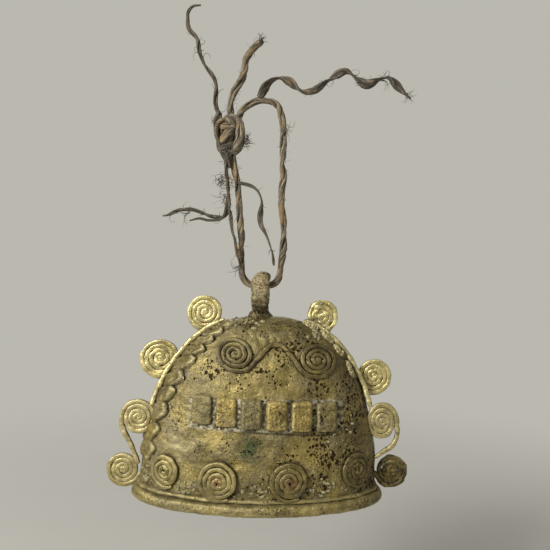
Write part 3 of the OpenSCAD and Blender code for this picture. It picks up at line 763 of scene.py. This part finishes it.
def brow(name, face, materials, seed):
    """One wire with a spiral at each end and a peak between, pressed on the dome's face."""
    half_span, spiral_r, middle_x, middle_h, peak = 23, 10.9, 10, 83.3, 7
    wide, tall = 1.1, 0.92
    left = [(wide * u / MM - half_span, tall * v / MM) for u, v in spiral(spiral_r * MM, TURN_PITCH, -90)]
    link = [(-0.80 * half_span, -0.78 * spiral_r), (-0.64 * half_span, -0.6 * spiral_r),
            (-0.42 * half_span, 0), (-0.2 * half_span, 0.8 * peak), (-0.08 * half_span, peak)]
    half = smooth_flat(left + link, len(left) - 1)
    whole = half + [(-u, v) for u, v in reversed(half)]
    points = [face_point(face, (middle_x + u) * MM, (middle_h + v - 0.065 * u) * MM, 0.7 * MM)
              for u, v in whole]
    piece = wire(points, rolled(points, WIRE_R * 0.97, 0.8, 0.8), ring=18, squash=0.78)
    lumps(piece, 4, 0.4, seed)
    lumps(piece, 1.6, 0.16, seed + 1)
    return finish_piece(piece, name + "_roll", "bell", materials["shaded_coil"], [name])


def tile(number, materials):
    """Plain raised plate: a slab with a softened edge, bent to the dome."""
    name = f"tile_{number}"
    low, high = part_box(name)
    wide, tall = (high[0] - low[0]) / 2, (high[2] - low[2]) / 2
    x = (low[0] + high[0]) / 2 - MIDDLE_X
    h = (low[2] + high[2]) / 2 - MOUTH_Z
    bpy.ops.object.select_all(action="DESELECT")
    bpy.ops.mesh.primitive_grid_add(x_subdivisions=28, y_subdivisions=36, size=2)
    piece = bpy.context.object
    for vertex in piece.data.vertices:
        u, v = vertex.co.x, vertex.co.y
        edge = min((1 - abs(u)) * wide, (1 - abs(v)) * tall)
        lift = -0.4 * MM + 2.3 * MM * min(1.0, math.sqrt(edge / (0.8 * MM)))
        corner = 0.07 * abs(u * v) ** 3
        ragged = 0.5 * MM * noise.noise(Vector((u * 2.2, v * 2.2, number * 9)))
        vertex.co = face_point(-1, x + u * wide * (1 - corner) + ragged,
                               h + v * tall * (1 - corner) + ragged * 0.6, lift)
    add_wall(piece, 0.7 * MM, 1)
    lumps(piece, 4, 0.3, 40 + number)
    lumps(piece, 1.5, 0.14, 60 + number)
    look = "plate" if number in (2, 4, 5) else "dull_plate"
    return finish_piece(piece, name + "_plate", "bell", materials[look], [name], smooth=60)


def make_crown(materials):
    """Ring with a round eye, thick and crusted in front, and the rough collar under it."""
    middle = (Vector(LOOP_LOW) + Vector(LOOP_HIGH)) / 2
    ring_r = (LOOP_HIGH[2] - LOOP_LOW[2]) / 2
    half_w = (LOOP_HIGH[0] - LOOP_LOW[0]) / 2
    eye_r = 7 * MM
    bpy.ops.object.select_all(action="DESELECT")
    bpy.ops.mesh.primitive_torus_add(
        major_segments=96, minor_segments=32, major_radius=(ring_r + eye_r) / 2,
        minor_radius=(ring_r - eye_r) / 2, location=(0, 0, 0))
    piece = bpy.context.object
    begin_edit("SELECT")
    bpy.ops.transform.resize(value=(1, 1, half_w / ((ring_r - eye_r) / 2)), center_override=(0, 0, 0))
    bpy.ops.object.mode_set(mode="OBJECT")
    turn = Matrix.Rotation(math.radians(90), 4, "Y")
    piece.data.transform(Matrix.Translation(middle) @ turn)
    for vertex in piece.data.vertices:
        front = max(0.0, (middle.y - vertex.co.y) / ring_r)
        low_down = (vertex.co.z - middle.z) / ring_r
        vertex.co.x = middle.x + (vertex.co.x - middle.x) * (0.88 + 0.16 * front * (1 + 0.3 * low_down))
        vertex.co.x += 1.6 * MM * max(0.0, low_down - 0.2) * (1 - front)
    lumps(piece, 5, 0.4, 61)
    lumps(piece, 1.5, 0.45, 62)
    for vertex in piece.data.vertices:
        away = math.hypot(vertex.co.y - middle.y, vertex.co.z - middle.z)
        if away < eye_r:
            out = (vertex.co - middle) * Vector((0, 1, 1))
            vertex.co += out.normalized() * (eye_r - away)
    finish_piece(piece, "crown_ring", "bell", materials["crust"], ["crown_loop"])
    piece.data.materials.append(materials["dull_plate"])
    for polygon in piece.data.polygons:
        behind = polygon.center.y > middle.y - 0.45 * ring_r
        if behind and polygon.center.z > middle.z:
            polygon.material_index = 1

    foot = COLLAR_LOW[2] - MOUTH_Z
    rise = COLLAR_HIGH[2] - COLLAR_LOW[2]
    r = 0.85 * (COLLAR_HIGH[0] - COLLAR_LOW[0]) / 2
    x = (COLLAR_LOW[0] + COLLAR_HIGH[0]) / 2 - MIDDLE_X
    rings = [(r * u, r * u * 0.82, x, foot + rise * v) for u, v in (
        (0.3, -0.9), (0.98, -0.85), (1.0, -0.4), (0.96, 0.0), (0.86, 0.3), (0.74, 0.6),
        (0.64, 0.9), (0.4, 1.0))]
    piece = loft(rings, 64)
    begin_edit("SELECT")
    bpy.ops.mesh.subdivide(number_cuts=2)
    bpy.ops.object.mode_set(mode="OBJECT")
    lumps(piece, 3, 0.6, 63)
    lumps(piece, 1.2, 0.25, 64)
    finish_piece(piece, "crown_foot", "bell", materials["shaded_coil"], ["crown_collar"])


def make_crumbs(materials):
    """Crumbs of brass that ran into the mould's cracks and were never filed off."""
    clusters = [
        # x, height above the mouth, spread across, spread up, how many, size; in millimetres
        (-62, 14, 4, 9, 30, 1.1), (-36, 11, 9, 4, 34, 1.0), (0, 11, 8, 5, 30, 0.9),
        (38, 12, 8, 4, 24, 0.9), (8, 80, 16, 3, 18, 0.5), (-24, 74, 7, 1.5, 10, 0.5),
        (34, 96, 5, 3, 24, 1.1), (-40, 88, 10, 12, 30, 0.8), (44, 44, 8, 10, 18, 0.6),
        (-10, 102, 14, 3, 26, 0.9), (-52, 56, 5, 18, 30, 0.8)]
    rng = random.Random(9)
    bpy.ops.object.select_all(action="DESELECT")
    bpy.ops.mesh.primitive_ico_sphere_add(subdivisions=2, radius=1, location=(0, 0, 0))
    seed_piece = bpy.context.object
    shape = [v.co.copy() for v in seed_piece.data.vertices]
    sides = [tuple(p.vertices) for p in seed_piece.data.polygons]
    bpy.data.objects.remove(seed_piece)
    vertices, faces = [], []
    for x, h, wide, tall, count, size in clusters:
        for _ in range(count):
            u, v = rng.gauss(x, wide * 0.6) * MM, rng.gauss(h, tall * 0.6) * MM
            if v < 9 * MM or v > 103 * MM or abs(u - lean(v)) > 0.985 * side_x(v, 0, 0):
                continue
            middle = face_point(-1, u, v, -0.1 * MM)
            r = size * rng.uniform(0.5, 1.3) * MM
            grow = (rng.uniform(0.7, 1.7), rng.uniform(0.6, 1), rng.uniform(0.6, 1.4))
            start = len(vertices)
            for co in shape:
                dent = 1 + 0.5 * noise.noise(co * 1.6 + Vector((u, v, r)) * 1000)
                vertices.append(middle + Vector([co[i] * grow[i] for i in range(3)]) * r * dent)
            faces += [tuple(start + i for i in side) for side in sides]
    piece = add_mesh("casting_crumbs", vertices, faces)
    piece.data.materials.append(materials["crumbs"])
    bpy.ops.object.select_all(action="DESELECT")
    piece.select_set(True)
    bpy.context.view_layer.objects.active = piece
    bpy.ops.object.shade_smooth()
    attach(piece, "bell")


def make_bell(materials):
    """All that was cast in one: dome, lip, ribbons, scrolls, coils, plates, crown and crumbs."""
    make_shell(materials)
    make_lip("mouth_lip", "rim_band", RIM_LOW, RIM_HIGH, LIP_PROFILE, materials, 3)
    make_lip("mouth_bead", "rim_bead", BEAD_LOW, BEAD_HIGH, BEAD_PROFILE, materials, 5)
    ribbon("left_ribbon", "left_seam_ribbon", -1, (9, 74), (31, 50), 10, materials, 11)
    ribbon("right_ribbon", "right_seam_ribbon", 1, (39, 74), (25, 22), 4, materials, 12)
    ridge("left_ridge", "left_ridge_wire", -1, (21, 73), 11, materials, 13)
    ridge("right_ridge", "right_ridge_wire", 1, (24, 73), 11, materials, 14)
    left_tail = [(-9.5, -5.5), (-7.9, -9.5), (-5.0, -14), (-2.4, -20), (0.4, -27)]
    right_tail = [(-9.2, -6), (-8.6, -10.5), (-6.0, -14.5), (-1.2, -17.6), (3.5, -21)]
    edge_scroll("left_scroll_1", -1, -32.5, 106.4, 11.9, 0, -50, materials, 21)
    edge_scroll("left_scroll_2", -1, -58.4, 79, 13.1, 1, -25, materials, 22, stretch=(1.05, 0.98),
                rag=0.3)
    edge_scroll("left_scroll_3", -1, -69.2, 45.2, 11.4, 7, 0, materials, 23, tail=left_tail,
                finish="dull_wire")
    edge_scroll("left_scroll_4", -1, -79.4, 12.6, 11.2, 0, -20, materials, 24, finish="dull_wire")
    edge_scroll("right_scroll_1", 1, 36.4, 106, 10.8, 0, -62, materials, 25, stretch=(0.95, 1.04),
                rag=0.42)
    edge_scroll("right_scroll_2", 1, 68.0, 70.7, 11.8, 0, -15, materials, 26, rag=0.22)
    edge_scroll("right_scroll_3", 1, 72.2, 45.3, 11.0, 6, 0, materials, 27, tail=right_tail,
                stretch=(0.92, 1.1), finish="dull_wire")
    edge_scroll("right_scroll_4", 1, 79.6, 15.1, 10.8, 0, -20, materials, 28, finish="shaded_coil",
                rag=0.3)
    coils = ((-50.5, 19.4, 10.4, 0.8, 0.3, "coil"), (-20, 17.4, 12.2, 3.0, 0.2, "coil"),
             (18.5, 18, 11.9, 1.2, 0.2, "shaded_coil"), (56.5, 21.5, 10.9, 0.8, 0.2, "shaded_coil"))
    for number, (x, h, r, cone, inner, look) in enumerate(coils, 1):
        face_coil(f"front_coil_{number}", -1, x, h, r, cone, inner, look, materials, 30 + number)
        face_coil(f"back_coil_{number}", 1, x, h, r, cone, inner, look, materials, 34 + number)
    brow("front_brow_scroll", -1, materials, 51)
    brow("back_brow_scroll", 1, materials, 52)
    for number in range(1, 7):
        tile(number, materials)
    make_crown(materials)
    make_crumbs(materials)


# ---------------------------------------------------------------- the clapper

def make_clapper(materials):
    """Iron clapper: the staple, link and rod keep their shape, the ball is forged by hand."""
    for node in ("inner_staple", "clapper_link", "clapper_rod"):
        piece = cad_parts[node]
        piece.data.materials.clear()
        piece.data.materials.append(materials["iron"])
    low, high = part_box("clapper_bob")
    r = (high[2] - low[2]) / 2
    middle = (low[2] + high[2]) / 2 - MOUTH_Z
    x = (low[0] + high[0]) / 2 - MIDDLE_X
    rings = []
    for i in range(1, 24):
        a = math.radians(-90 + 180 * i / 24)
        pear = 1 - 0.08 * math.sin(a)
        wide = r * math.cos(a) * pear * 0.98
        rings.append((wide, wide, x, middle + r * math.sin(a)))
    piece = loft(rings, 48)
    close_hole(piece)
    lumps(piece, 5, 0.3, 71)
    finish_piece(piece, "clapper_ball", "clapper", materials["iron"], ["clapper_bob"])


def close_hole(piece):
    """Closes the open end of a lofted shell."""
    bpy.context.view_layer.objects.active = piece
    begin_edit("DESELECT")
    bpy.ops.mesh.select_non_manifold()
    bpy.ops.mesh.edge_face_add()
    face_outward()


# ---------------------------------------------------------------- the cord

# Routes in millimetres, close to the construction's own
CORD_ROUTE = [
    (-19, 0, -12), (-14, 0, -3), (-7, 0, 1.5), (0, 0, 2.2), (6, 0, -1), (9, 0, -11),
    (9.5, 0, -22), (9.5, 0, -33), (10, 0, -43), (9, 0, -53), (9.5, 0, -63), (11, 0, -73),
    (11, 0, -84), (10, 0, -94), (9, 0, -102), (4.5, 0, -107.5), (-2, 0, -107.5), (-8.5, 0, -107.5),
    (-13, 0, -102), (-14, 0, -92), (-14, 0, -81), (-15, 0, -70), (-16, 0, -59),
    (-17, 0, -49), (-19, 0, -39), (-21.5, 0, -28)]
COMPANION_ROUTE = [
    (-24, -3, -27), (-23.5, -3.5, -43), (-22, -3.5, -56), (-20.5, -3.5, -68),
    (-18.5, -4, -79), (-16, -4.5, -89), (-13.5, -4.5, -99)]
UPPER_TAIL_ROUTE = [
    (-27, 0, -12), (-31, 0, -1), (-31, 0, 8), (-32, 0, 14), (-37, 0, 21), (-41, 0, 29),
    (-43, 0, 38), (-48, 0, 44), (-49, 0, 52), (-46, 0, 57), (-41, 0, 58)]
HOOK_TAIL_ROUTE = [
    (-23, 0, -10), (-22, 1, 0), (-20, 2, 8), (-15, 3, 18), (-13.5, 3, 28), (-8.5, 3, 35),
    (-4, 3, 39)]
RIGHT_TAIL_ROUTE = [
    (-5, -2, 3), (0, -3, 11), (6, -3, 14.5), (12, -3, 13), (20, -3, 7), (28, -3, 8),
    (36, -3, 14), (46, -3, 19), (57, -3, 12), (70, -3, 16), (78, -3, 9), (84, -3, 4)]
MIDDLE_TAIL_ROUTE = [
    (-17, -1, -47), (-7, -4, -50.5), (-2.5, -4, -58), (-3, -4, -70), (1, -4, -79),
    (4.5, -5, -89), (5.5, -5, -96)]
LOWER_TAIL_ROUTE = [
    (-24.5, -2, -28), (-23.4, -2.5, -42), (-22.2, -2.5, -56), (-23.4, -2, -66.5), (-32, -1, -67.5),
    (-46, -1, -63.5), (-61, -1, -68)]


def smooth_route(route, step_mm):
    """Smooth curve through a route's points, as points step_mm apart."""
    points = [Vector(p) for p in route]
    ends = [2 * points[0] - points[1]] + points + [2 * points[-1] - points[-2]]
    fine = []
    for p0, p1, p2, p3 in zip(ends, ends[1:], ends[2:], ends[3:]):
        parts = max(4, round((p2 - p1).length / 0.25))
        for i in range(parts):
            t = i / parts
            fine.append(0.5 * (2 * p1 + (p2 - p0) * t + (2 * p0 - 5 * p1 + 4 * p2 - p3) * t ** 2
                               + (3 * p1 - p0 - 3 * p2 + p3) * t ** 3))
    fine.append(points[-1])
    even, left = [fine[0]], step_mm
    for a, b in zip(fine, fine[1:]):
        gap = (b - a).length
        while gap >= left:
            a = a + (b - a) * (left / gap)
            even.append(a)
            gap = (b - a).length
            left = step_mm
        left -= gap
    even.append(fine[-1])
    return [p * MM for p in even]


def carried_frames(points):
    """Two directions across the route at each point, carried along without twisting."""
    n = len(points)
    tangents = [(points[min(i + 1, n - 1)] - points[max(i - 1, 0)]).normalized() for i in range(n)]
    side = tangents[0].cross(Vector((0, 1, 0))).normalized()
    frames = []
    for i, t in enumerate(tangents):
        if i:
            side = (Quaternion(tangents[i - 1].cross(t).normalized(), tangents[i - 1].angle(t)) @ side
                    if tangents[i - 1].angle(t) > 1e-5 else side)
        side = (side - t * side.dot(t)).normalized()
        frames.append((side, t.cross(side)))
    return frames


def bundle_seed(seed):
    """Place in the noise where a bundle's wandering is read."""
    return Vector((seed * 3.7, seed * 1.9, 0))


def twisted(points, strands, wide, thin, offset, lay_mm, seed, ring=10, step_mm=1.0, taper=0):
    """Strands laid round a route: each is a flattened bundle that wanders as it turns."""
    frames = carried_frames(points)
    n = len(points)
    shift = bundle_seed(seed)
    vertices, faces, marks = [], [], []
    for s in range(strands):
        strand_faces, strand_marks = tube_faces(len(vertices), n, ring)
        faces += strand_faces
        marks += strand_marks
        for i, (point, (side, up)) in enumerate(zip(points, frames)):
            far = i * step_mm
            wander = noise.noise(Vector((far * 0.07, s * 5.3, 0)) + shift)
            fatness = 1 + 0.5 * noise.noise(Vector((far * 0.1, s * 7.1, 4.0)) + shift)
            if taper:
                fatness *= min(1.0, 0.45 + (n - 1 - i) / taper)
            turn = 2 * math.pi * (far / lay_mm + s / strands) + 2.2 * wander
            out = math.cos(turn) * side + math.sin(turn) * up
            round_it = -math.sin(turn) * side + math.cos(turn) * up
            middle = point + out * offset * MM * (1 + 0.25 * wander) * min(1.0, fatness)
            for k in range(ring):
                a = 2 * math.pi * k / ring
                spot = Vector((far * 0.12, 2.2 * math.cos(a), 2.2 * math.sin(a) + s * 9))
                rib = 1 + 0.16 * noise.noise(spot + shift)
                vertices.append(middle + MM * fatness * rib * (
                    math.cos(a) * thin * out + math.sin(a) * wide * round_it))
    return lay_map(add_mesh("cord", vertices, faces), marks, step_mm, ring)


def strip(points, wide, thin, lay_mm, seed, step_mm=1.0, ring=16):
    """Flat strip of bark that twists along its route."""
    frames = carried_frames(points)
    n = len(points)
    shift = bundle_seed(seed)
    vertices = []
    for i, (point, (side, up)) in enumerate(zip(points, frames)):
        far = i * step_mm
        turn = 2 * math.pi * far / lay_mm + 1.3 * noise.noise(Vector((far * 0.05, 0, 0)) + shift)
        a_way = math.cos(turn) * side + math.sin(turn) * up
        b_way = -math.sin(turn) * side + math.cos(turn) * up
        fat = 1 + 0.45 * noise.noise(Vector((far * 0.08, 3, 0)) + shift)
        fat *= min(1.0, 0.55 + (n - 1 - i) / 9) * min(1.0, 0.6 + i / 18)
        for k in range(ring):
            a = 2 * math.pi * k / ring
            spot = Vector((far * 0.14, 3 * math.cos(a), 3 * math.sin(a)))
            rib = 1 + 0.35 * noise.noise(spot + shift)
            vertices.append(point + MM * fat * rib * (
                math.cos(a) * wide * a_way + math.sin(a) * thin * b_way))
    faces, marks = tube_faces(0, n, ring)
    return lay_map(add_mesh("strip", vertices, faces), marks, step_mm, ring)


def lay_map(piece, marks, step_mm, ring):
    """Map called along: millimetres down the cord, and turns round it."""
    layer = piece.data.uv_layers.new(name="along")
    flat = [(i * step_mm, k / ring) for face in marks for i, k in face]
    for loop, place in zip(layer.data, flat):
        loop.uv = place
    return piece


def route_length(points):
    """Length of a route along its points."""
    return sum((b - a).length for a, b in zip(points, points[1:]))


def add_cord(name, piece, material):
    """Finishes a cord's mesh: names it, gives it its material, hangs it on the cord and hides the node it
    stands for.
    """
    finish_piece(piece, name + "_twist", "cord", material, [name], smooth=60)


def make_cords(materials):
    """The cord through the crown and the tails that leave its knot."""
    fibre, dark = materials["fibre"], materials["dark_fibre"]
    points = smooth_route(CORD_ROUTE, 1.0)
    add_cord("cord_loop", twisted(points, 3, 1.3, 0.95, 1.15, 38, 1), fibre)
    points = smooth_route(COMPANION_ROUTE, 1.0)
    add_cord("companion_strand", twisted(points, 2, 0.75, 0.5, 0.62, 30, 2, taper=20), dark)
    points = smooth_route(UPPER_TAIL_ROUTE, 1.0)
    add_cord("upper_tail", twisted(points, 2, 0.95, 0.62, 0.7, 30, 3, taper=30), dark)
    points = smooth_route(HOOK_TAIL_ROUTE, 1.0)
    add_cord("hook_tail", twisted(points, 3, 1.4, 1.05, 1.3, 44, 4, taper=6), fibre)
    points = smooth_route(RIGHT_TAIL_ROUTE, 1.0)
    add_cord("right_tail", strip(points, 2.5, 0.8, 38, 5), dark)
    points = smooth_route(MIDDLE_TAIL_ROUTE, 1.0)
    add_cord("middle_tail", strip(points, 1.35, 0.6, 60, 6), dark)
    points = smooth_route(LOWER_TAIL_ROUTE, 1.0)
    add_cord("lower_tail", twisted(points, 2, 0.75, 0.5, 0.6, 24, 7, taper=10), dark)


def make_knot(materials):
    """Overhand knot: thick turns of the cord pulled over each other round a solid heart."""
    low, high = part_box("cord_knot")
    middle = (Vector(low) + Vector(high)) / 2
    turns = [
        # tilt about X and Y in degrees, half length, half width, shift along Z, half thickness
        (6, 4, 10.4, 4.2, 0.0, 2.3), (-12, 20, 9.6, 4.0, 0.6, 2.2), (16, -22, 8.8, 4.4, 0.6, 2.2),
        (80, 24, 4.6, 4.4, 4.6, 2.1), (76, -30, 5.0, 4.2, -1.2, 2.2), (84, 8, 3.9, 3.8, -6.4, 1.9),
        (30, 60, 6.0, 2.4, 2.6, 1.9)]
    for number, (tilt_x, tilt_y, tall, wide, shift, r) in enumerate(turns, 1):
        turn = Matrix.Rotation(math.radians(tilt_y), 3, "Y") @ Matrix.Rotation(math.radians(tilt_x), 3, "X")
        steps = 80
        points = []
        for i in range(steps + 1):
            a = 2 * math.pi * i / steps
            place = turn @ Vector((wide * math.cos(a), 1.4 * math.sin(2 * a), tall * math.sin(a)))
            points.append(middle + (place + Vector((0, 0, shift))) * MM)
        around = route_length(points) / MM
        piece = twisted(points, 2, r * 0.85, r * 0.62, r * 0.5, 30, 80 + number, step_mm=around / steps)
        squeeze(piece, low, high)
        material = materials["dark_fibre"] if number in (2, 6) else materials["fibre"]
        finish_piece(piece, f"knot_turn_{number}", "cord", material, ["cord_knot"], 60)
    heart = [middle + Vector((0.4 * math.sin(0.5 * z), 0, z)) * MM for z in range(-10, 11)]
    piece = twisted(heart, 3, 2.9, 2.4, 2.4, 26, 95)
    squeeze(piece, low, high)
    finish_piece(piece, "knot_heart", "cord", materials["fibre"], ["cord_knot"], 60)
    ends = [
        # The cord's folded end, swollen and brushed out, and the strand that drops beside it
        ("knot_fold",
         [(-23, -4, -9), (-18.5, -5, -12), (-15.6, -5, -18), (-16.4, -5, -24), (-19.5, -3, -31)],
         4, 1.75, 1.4, 2.1, "fibre"),
        ("knot_drop",
         [(-28.5, -2, -6), (-29.6, -3, -14), (-28.2, -4, -22), (-25, -3, -31), (-21.5, -3, -39)],
         2, 1.35, 1.1, 1.2, "dark_fibre")]
    for number, (name, route, strands, wide, thin, offset, look) in enumerate(ends):
        points = smooth_route(route, 1.0)
        piece = twisted(points, strands, wide, thin, offset, 46, 97 + number, taper=8)
        finish_piece(piece, name, "cord", materials[look], ["cord_knot"], 60)


def squeeze(piece, low, high):
    """Keeps a soft piece inside the room that the construction gives it."""
    middle = (Vector(low) + Vector(high)) / 2
    half = (Vector(high) - Vector(low)) / 2 + Vector((2, 1, 1)) * MM
    for vertex in piece.data.vertices:
        away = vertex.co - middle
        far = max(abs(away[i]) / half[i] for i in range(3))
        if far > 0.9:
            vertex.co = middle + away * (0.9 + 0.1 * math.tanh((far - 0.9) / 0.1)) / far
    piece.data.update()


def make_frays(materials):
    """Loose hairs along the worn cord, tufts where it is frayed, and the low tail's second strand."""
    rng = random.Random(5)
    routes = [
        # route, first and last share of it, hairs, length in millimetres
        (CORD_ROUTE, 0.02, 0.97, 70, 6), (COMPANION_ROUTE, 0.1, 1.0, 24, 7),
        (UPPER_TAIL_ROUTE, 0.0, 0.8, 20, 7), (HOOK_TAIL_ROUTE, 0.1, 0.98, 20, 6),
        (RIGHT_TAIL_ROUTE, 0.3, 0.99, 34, 6), (MIDDLE_TAIL_ROUTE, 0.1, 0.95, 10, 5),
        (LOWER_TAIL_ROUTE, 0.05, 0.98, 26, 7)]
    for number, (route, first, last, count, length) in enumerate(routes, 1):
        points = smooth_route(route, 1.0)
        hairs = []
        for _ in range(count):
            i = int((first + (last - first) * rng.random()) * (len(points) - 2))
            if points[i].z < LOOP_HIGH[2] + 8 * MM:
                continue    # worn away where the cord rubs in the crown
            along = (points[i + 1] - points[i]).normalized() * rng.choice((-1, 1))
            hairs.append(hair(rng, points[i] / MM, along, 1.2, length * rng.uniform(0.5, 1.3), 0.35))
        join_hairs(hairs, f"hairs_{number}", materials["dark_fibre"] if number % 2 else materials["fibre"])
    tufts = [
        # place, heading, hairs, length, spread, side-to-side start, curl, look; in millimetres
        ((-14.5, -2, -97), (-0.6, -0.2, -0.6), 12, 8, 0.6, 1.6, 0.8, "dark_fibre"),
        ((-26, -3, -46.5), (-0.6, -0.2, 0.1), 16, 19, 0.9, 2.0, 2.2, "dark_fibre"),
        ((-20, -3, -47), (-1, -0.2, -0.1), 9, 12, 0.4, 1.2, 1.4, "fibre"),
        ((-14, -5, -24), (0.9, -0.2, -0.25), 34, 6, 0.35, 2.2, 0.4, "fibre"),
        ((-13, -4, -21), (1, -0.1, -0.5), 22, 5, 0.5, 1.8, 0.6, "dark_fibre"),
        ((-5, 1, 38), (0.4, -0.3, 0.9), 22, 4.5, 0.45, 1.3, 0.4, "dark_fibre"),
        ((-22, -5, -28), (0.1, -0.3, -1), 16, 10, 0.35, 2.6, 0.5, "fibre"),
        ((-30, -3, -12), (-0.6, -0.2, -0.5), 10, 9, 0.5, 1.2, 1.0, "fibre"),
        ((-24, -2, -55), (-0.5, -0.3, -1), 10, 12, 0.35, 1.2, 1.0, "dark_fibre"),
        ((-45, -1, -65), (-1, -0.1, -0.4), 8, 12, 0.25, 1.0, 0.6, "dark_fibre"),
        ((10.5, -2, -14), (0.4, -0.2, -0.9), 16, 8, 0.45, 1.6, 0.8, "fibre"),
        ((66, -3, 15), (1, -0.1, 0.1), 12, 9, 0.25, 0.9, 0.6, "dark_fibre"),
        ((80, -3, 7), (0.7, -0.1, -0.6), 14, 8, 0.25, 1.0, 0.4, "dark_fibre")]
    for number, (place, heading, count, length, spread, wide, curl, look) in enumerate(tufts, 1):
        hairs = [hair(rng, Vector(place), Vector(heading).normalized(), wide,
                      length * rng.uniform(0.6, 1.2), spread, curl)
                 for _ in range(count)]
        join_hairs(hairs, f"tuft_{number}", materials[look])
    fork = smooth_route(
        [(-22.5, -3, -55), (-25, -3, -68), (-33, -2, -70), (-39, -2, -69), (-45, -2, -70.5)], 1.0)
    strand = wire(fork, rolled(fork, 0.8 * MM, 0.6, 0.3, 8), ring=8)
    join_hairs([strand], "fork_strand", materials["dark_fibre"])


def hair(rng, place, heading, wide, length, spread, curl=0.8):
    """One curling hair from near place, in millimetres, along heading."""
    way = (heading + spread * Vector([rng.uniform(-1, 1) for _ in range(3)])).normalized()
    turn = Vector([rng.uniform(-1, 1) for _ in range(3)]).normalized()
    point = place + wide * Vector([rng.uniform(-1, 1) for _ in range(3)])
    points = []
    for _ in range(16):
        points.append(point * MM)
        swerve = 0.3 * Vector([rng.uniform(-1, 1) for _ in range(3)])
        way = (way + 0.32 * curl * turn.cross(way) + swerve * 0.5).normalized()
        point = point + way * length / 15
    thick = rng.uniform(0.09, 0.19) * MM
    ref = Vector((0.3, 1, 0.2)).normalized()
    return wire(points, [thick * (1 - 0.6 * i / 15) for i in range(16)], ring=5, ref=ref)


def join_hairs(hairs, name, material):
    """Joins hairs into one piece that rides on the cord."""
    bpy.ops.object.select_all(action="DESELECT")
    for hair in hairs:
        hair.select_set(True)
    bpy.context.view_layer.objects.active = hairs[0]
    if len(hairs) > 1:
        bpy.ops.object.join()
    piece = bpy.context.object
    piece.data.uv_layers.new(name="along")
    piece.name = name
    piece.data.materials.append(material)
    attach(piece, "cord")


# ---------------------------------------------------------------- the room

def make_room():
    """Pale floor under the bell that runs out into the backdrop, a key light from the upper left."""
    backdrop = srgb("BAB8AF")
    bpy.ops.object.select_all(action="DESELECT")
    bpy.ops.mesh.primitive_plane_add(size=60, location=(0, 0, MOUTH_Z - 0.14))
    floor = bpy.context.object
    floor.name = "floor"
    material, tree, shader, place = new_material("plaster_pale_matt")
    shader.inputs["Roughness"].default_value = 0.9
    trowel = add(tree, "ShaderNodeTexNoise", {"Vector": place, "Scale": per(60), "Detail": 5})
    tint = add(tree, "ShaderNodeValToRGB", {"Fac": trowel.outputs["Fac"]},
               ramp=[(0.3, "A9A79F"), (0.7, "ACAAA2")])
    tree.links.new(tint.outputs["Color"], shader.inputs["Base Color"])
    away = add(tree, "ShaderNodeVectorMath", {0: place}, operation="LENGTH")
    far = add(tree, "ShaderNodeMapRange", {
        "Value": away.outputs["Value"], "From Min": 0.15, "From Max": 0.9}, interpolation_type="SMOOTHSTEP")
    glow = add(tree, "ShaderNodeEmission", {"Color": backdrop})
    both = add(tree, "ShaderNodeMixShader", {
        0: far.outputs["Result"], 1: shader.outputs[0], 2: glow.outputs[0]})
    # Seen from below the floor is open, so that the bell's inside shows
    side = add(tree, "ShaderNodeNewGeometry")
    open_below = add(tree, "ShaderNodeBsdfTransparent")
    whole = add(tree, "ShaderNodeMixShader", {
        0: side.outputs["Backfacing"], 1: both.outputs[0], 2: open_below.outputs[0]})
    tree.links.new(whole.outputs[0], tree.nodes["Material Output"].inputs["Surface"])
    floor.data.materials.append(material)

    world = bpy.data.worlds.new("studio")
    world.use_nodes = True
    bpy.context.scene.world = world
    tree = world.node_tree
    shine = tree.nodes["Background"]
    shine.inputs["Color"].default_value = srgb("F4F1EA")
    shine.inputs["Strength"].default_value = 0.42
    seen = add(tree, "ShaderNodeBackground", {"Color": backdrop, "Strength": 1.0})
    path = add(tree, "ShaderNodeLightPath")
    both = add(tree, "ShaderNodeMixShader", {
        0: path.outputs["Is Camera Ray"], 1: shine.outputs[0], 2: seen.outputs[0]})
    tree.links.new(both.outputs[0], tree.nodes["World Output"].inputs["Surface"])

    aim = (0, 0, -0.15)
    add_lamp("key", (-0.72, -0.74, 0.32), aim, 0.34, 19)
    add_lamp("fill", (0.5, -1.0, -0.05), aim, 0.9, 1.0)
    add_lamp("back", (-0.2, 0.9, 0.5), aim, 0.8, 3)


add_camera()
materials = make_materials()
make_cords(materials)
make_knot(materials)
make_frays(materials)
make_bell(materials)
make_clapper(materials)
make_room()
bpy.context.scene.view_settings.view_transform = "Standard"
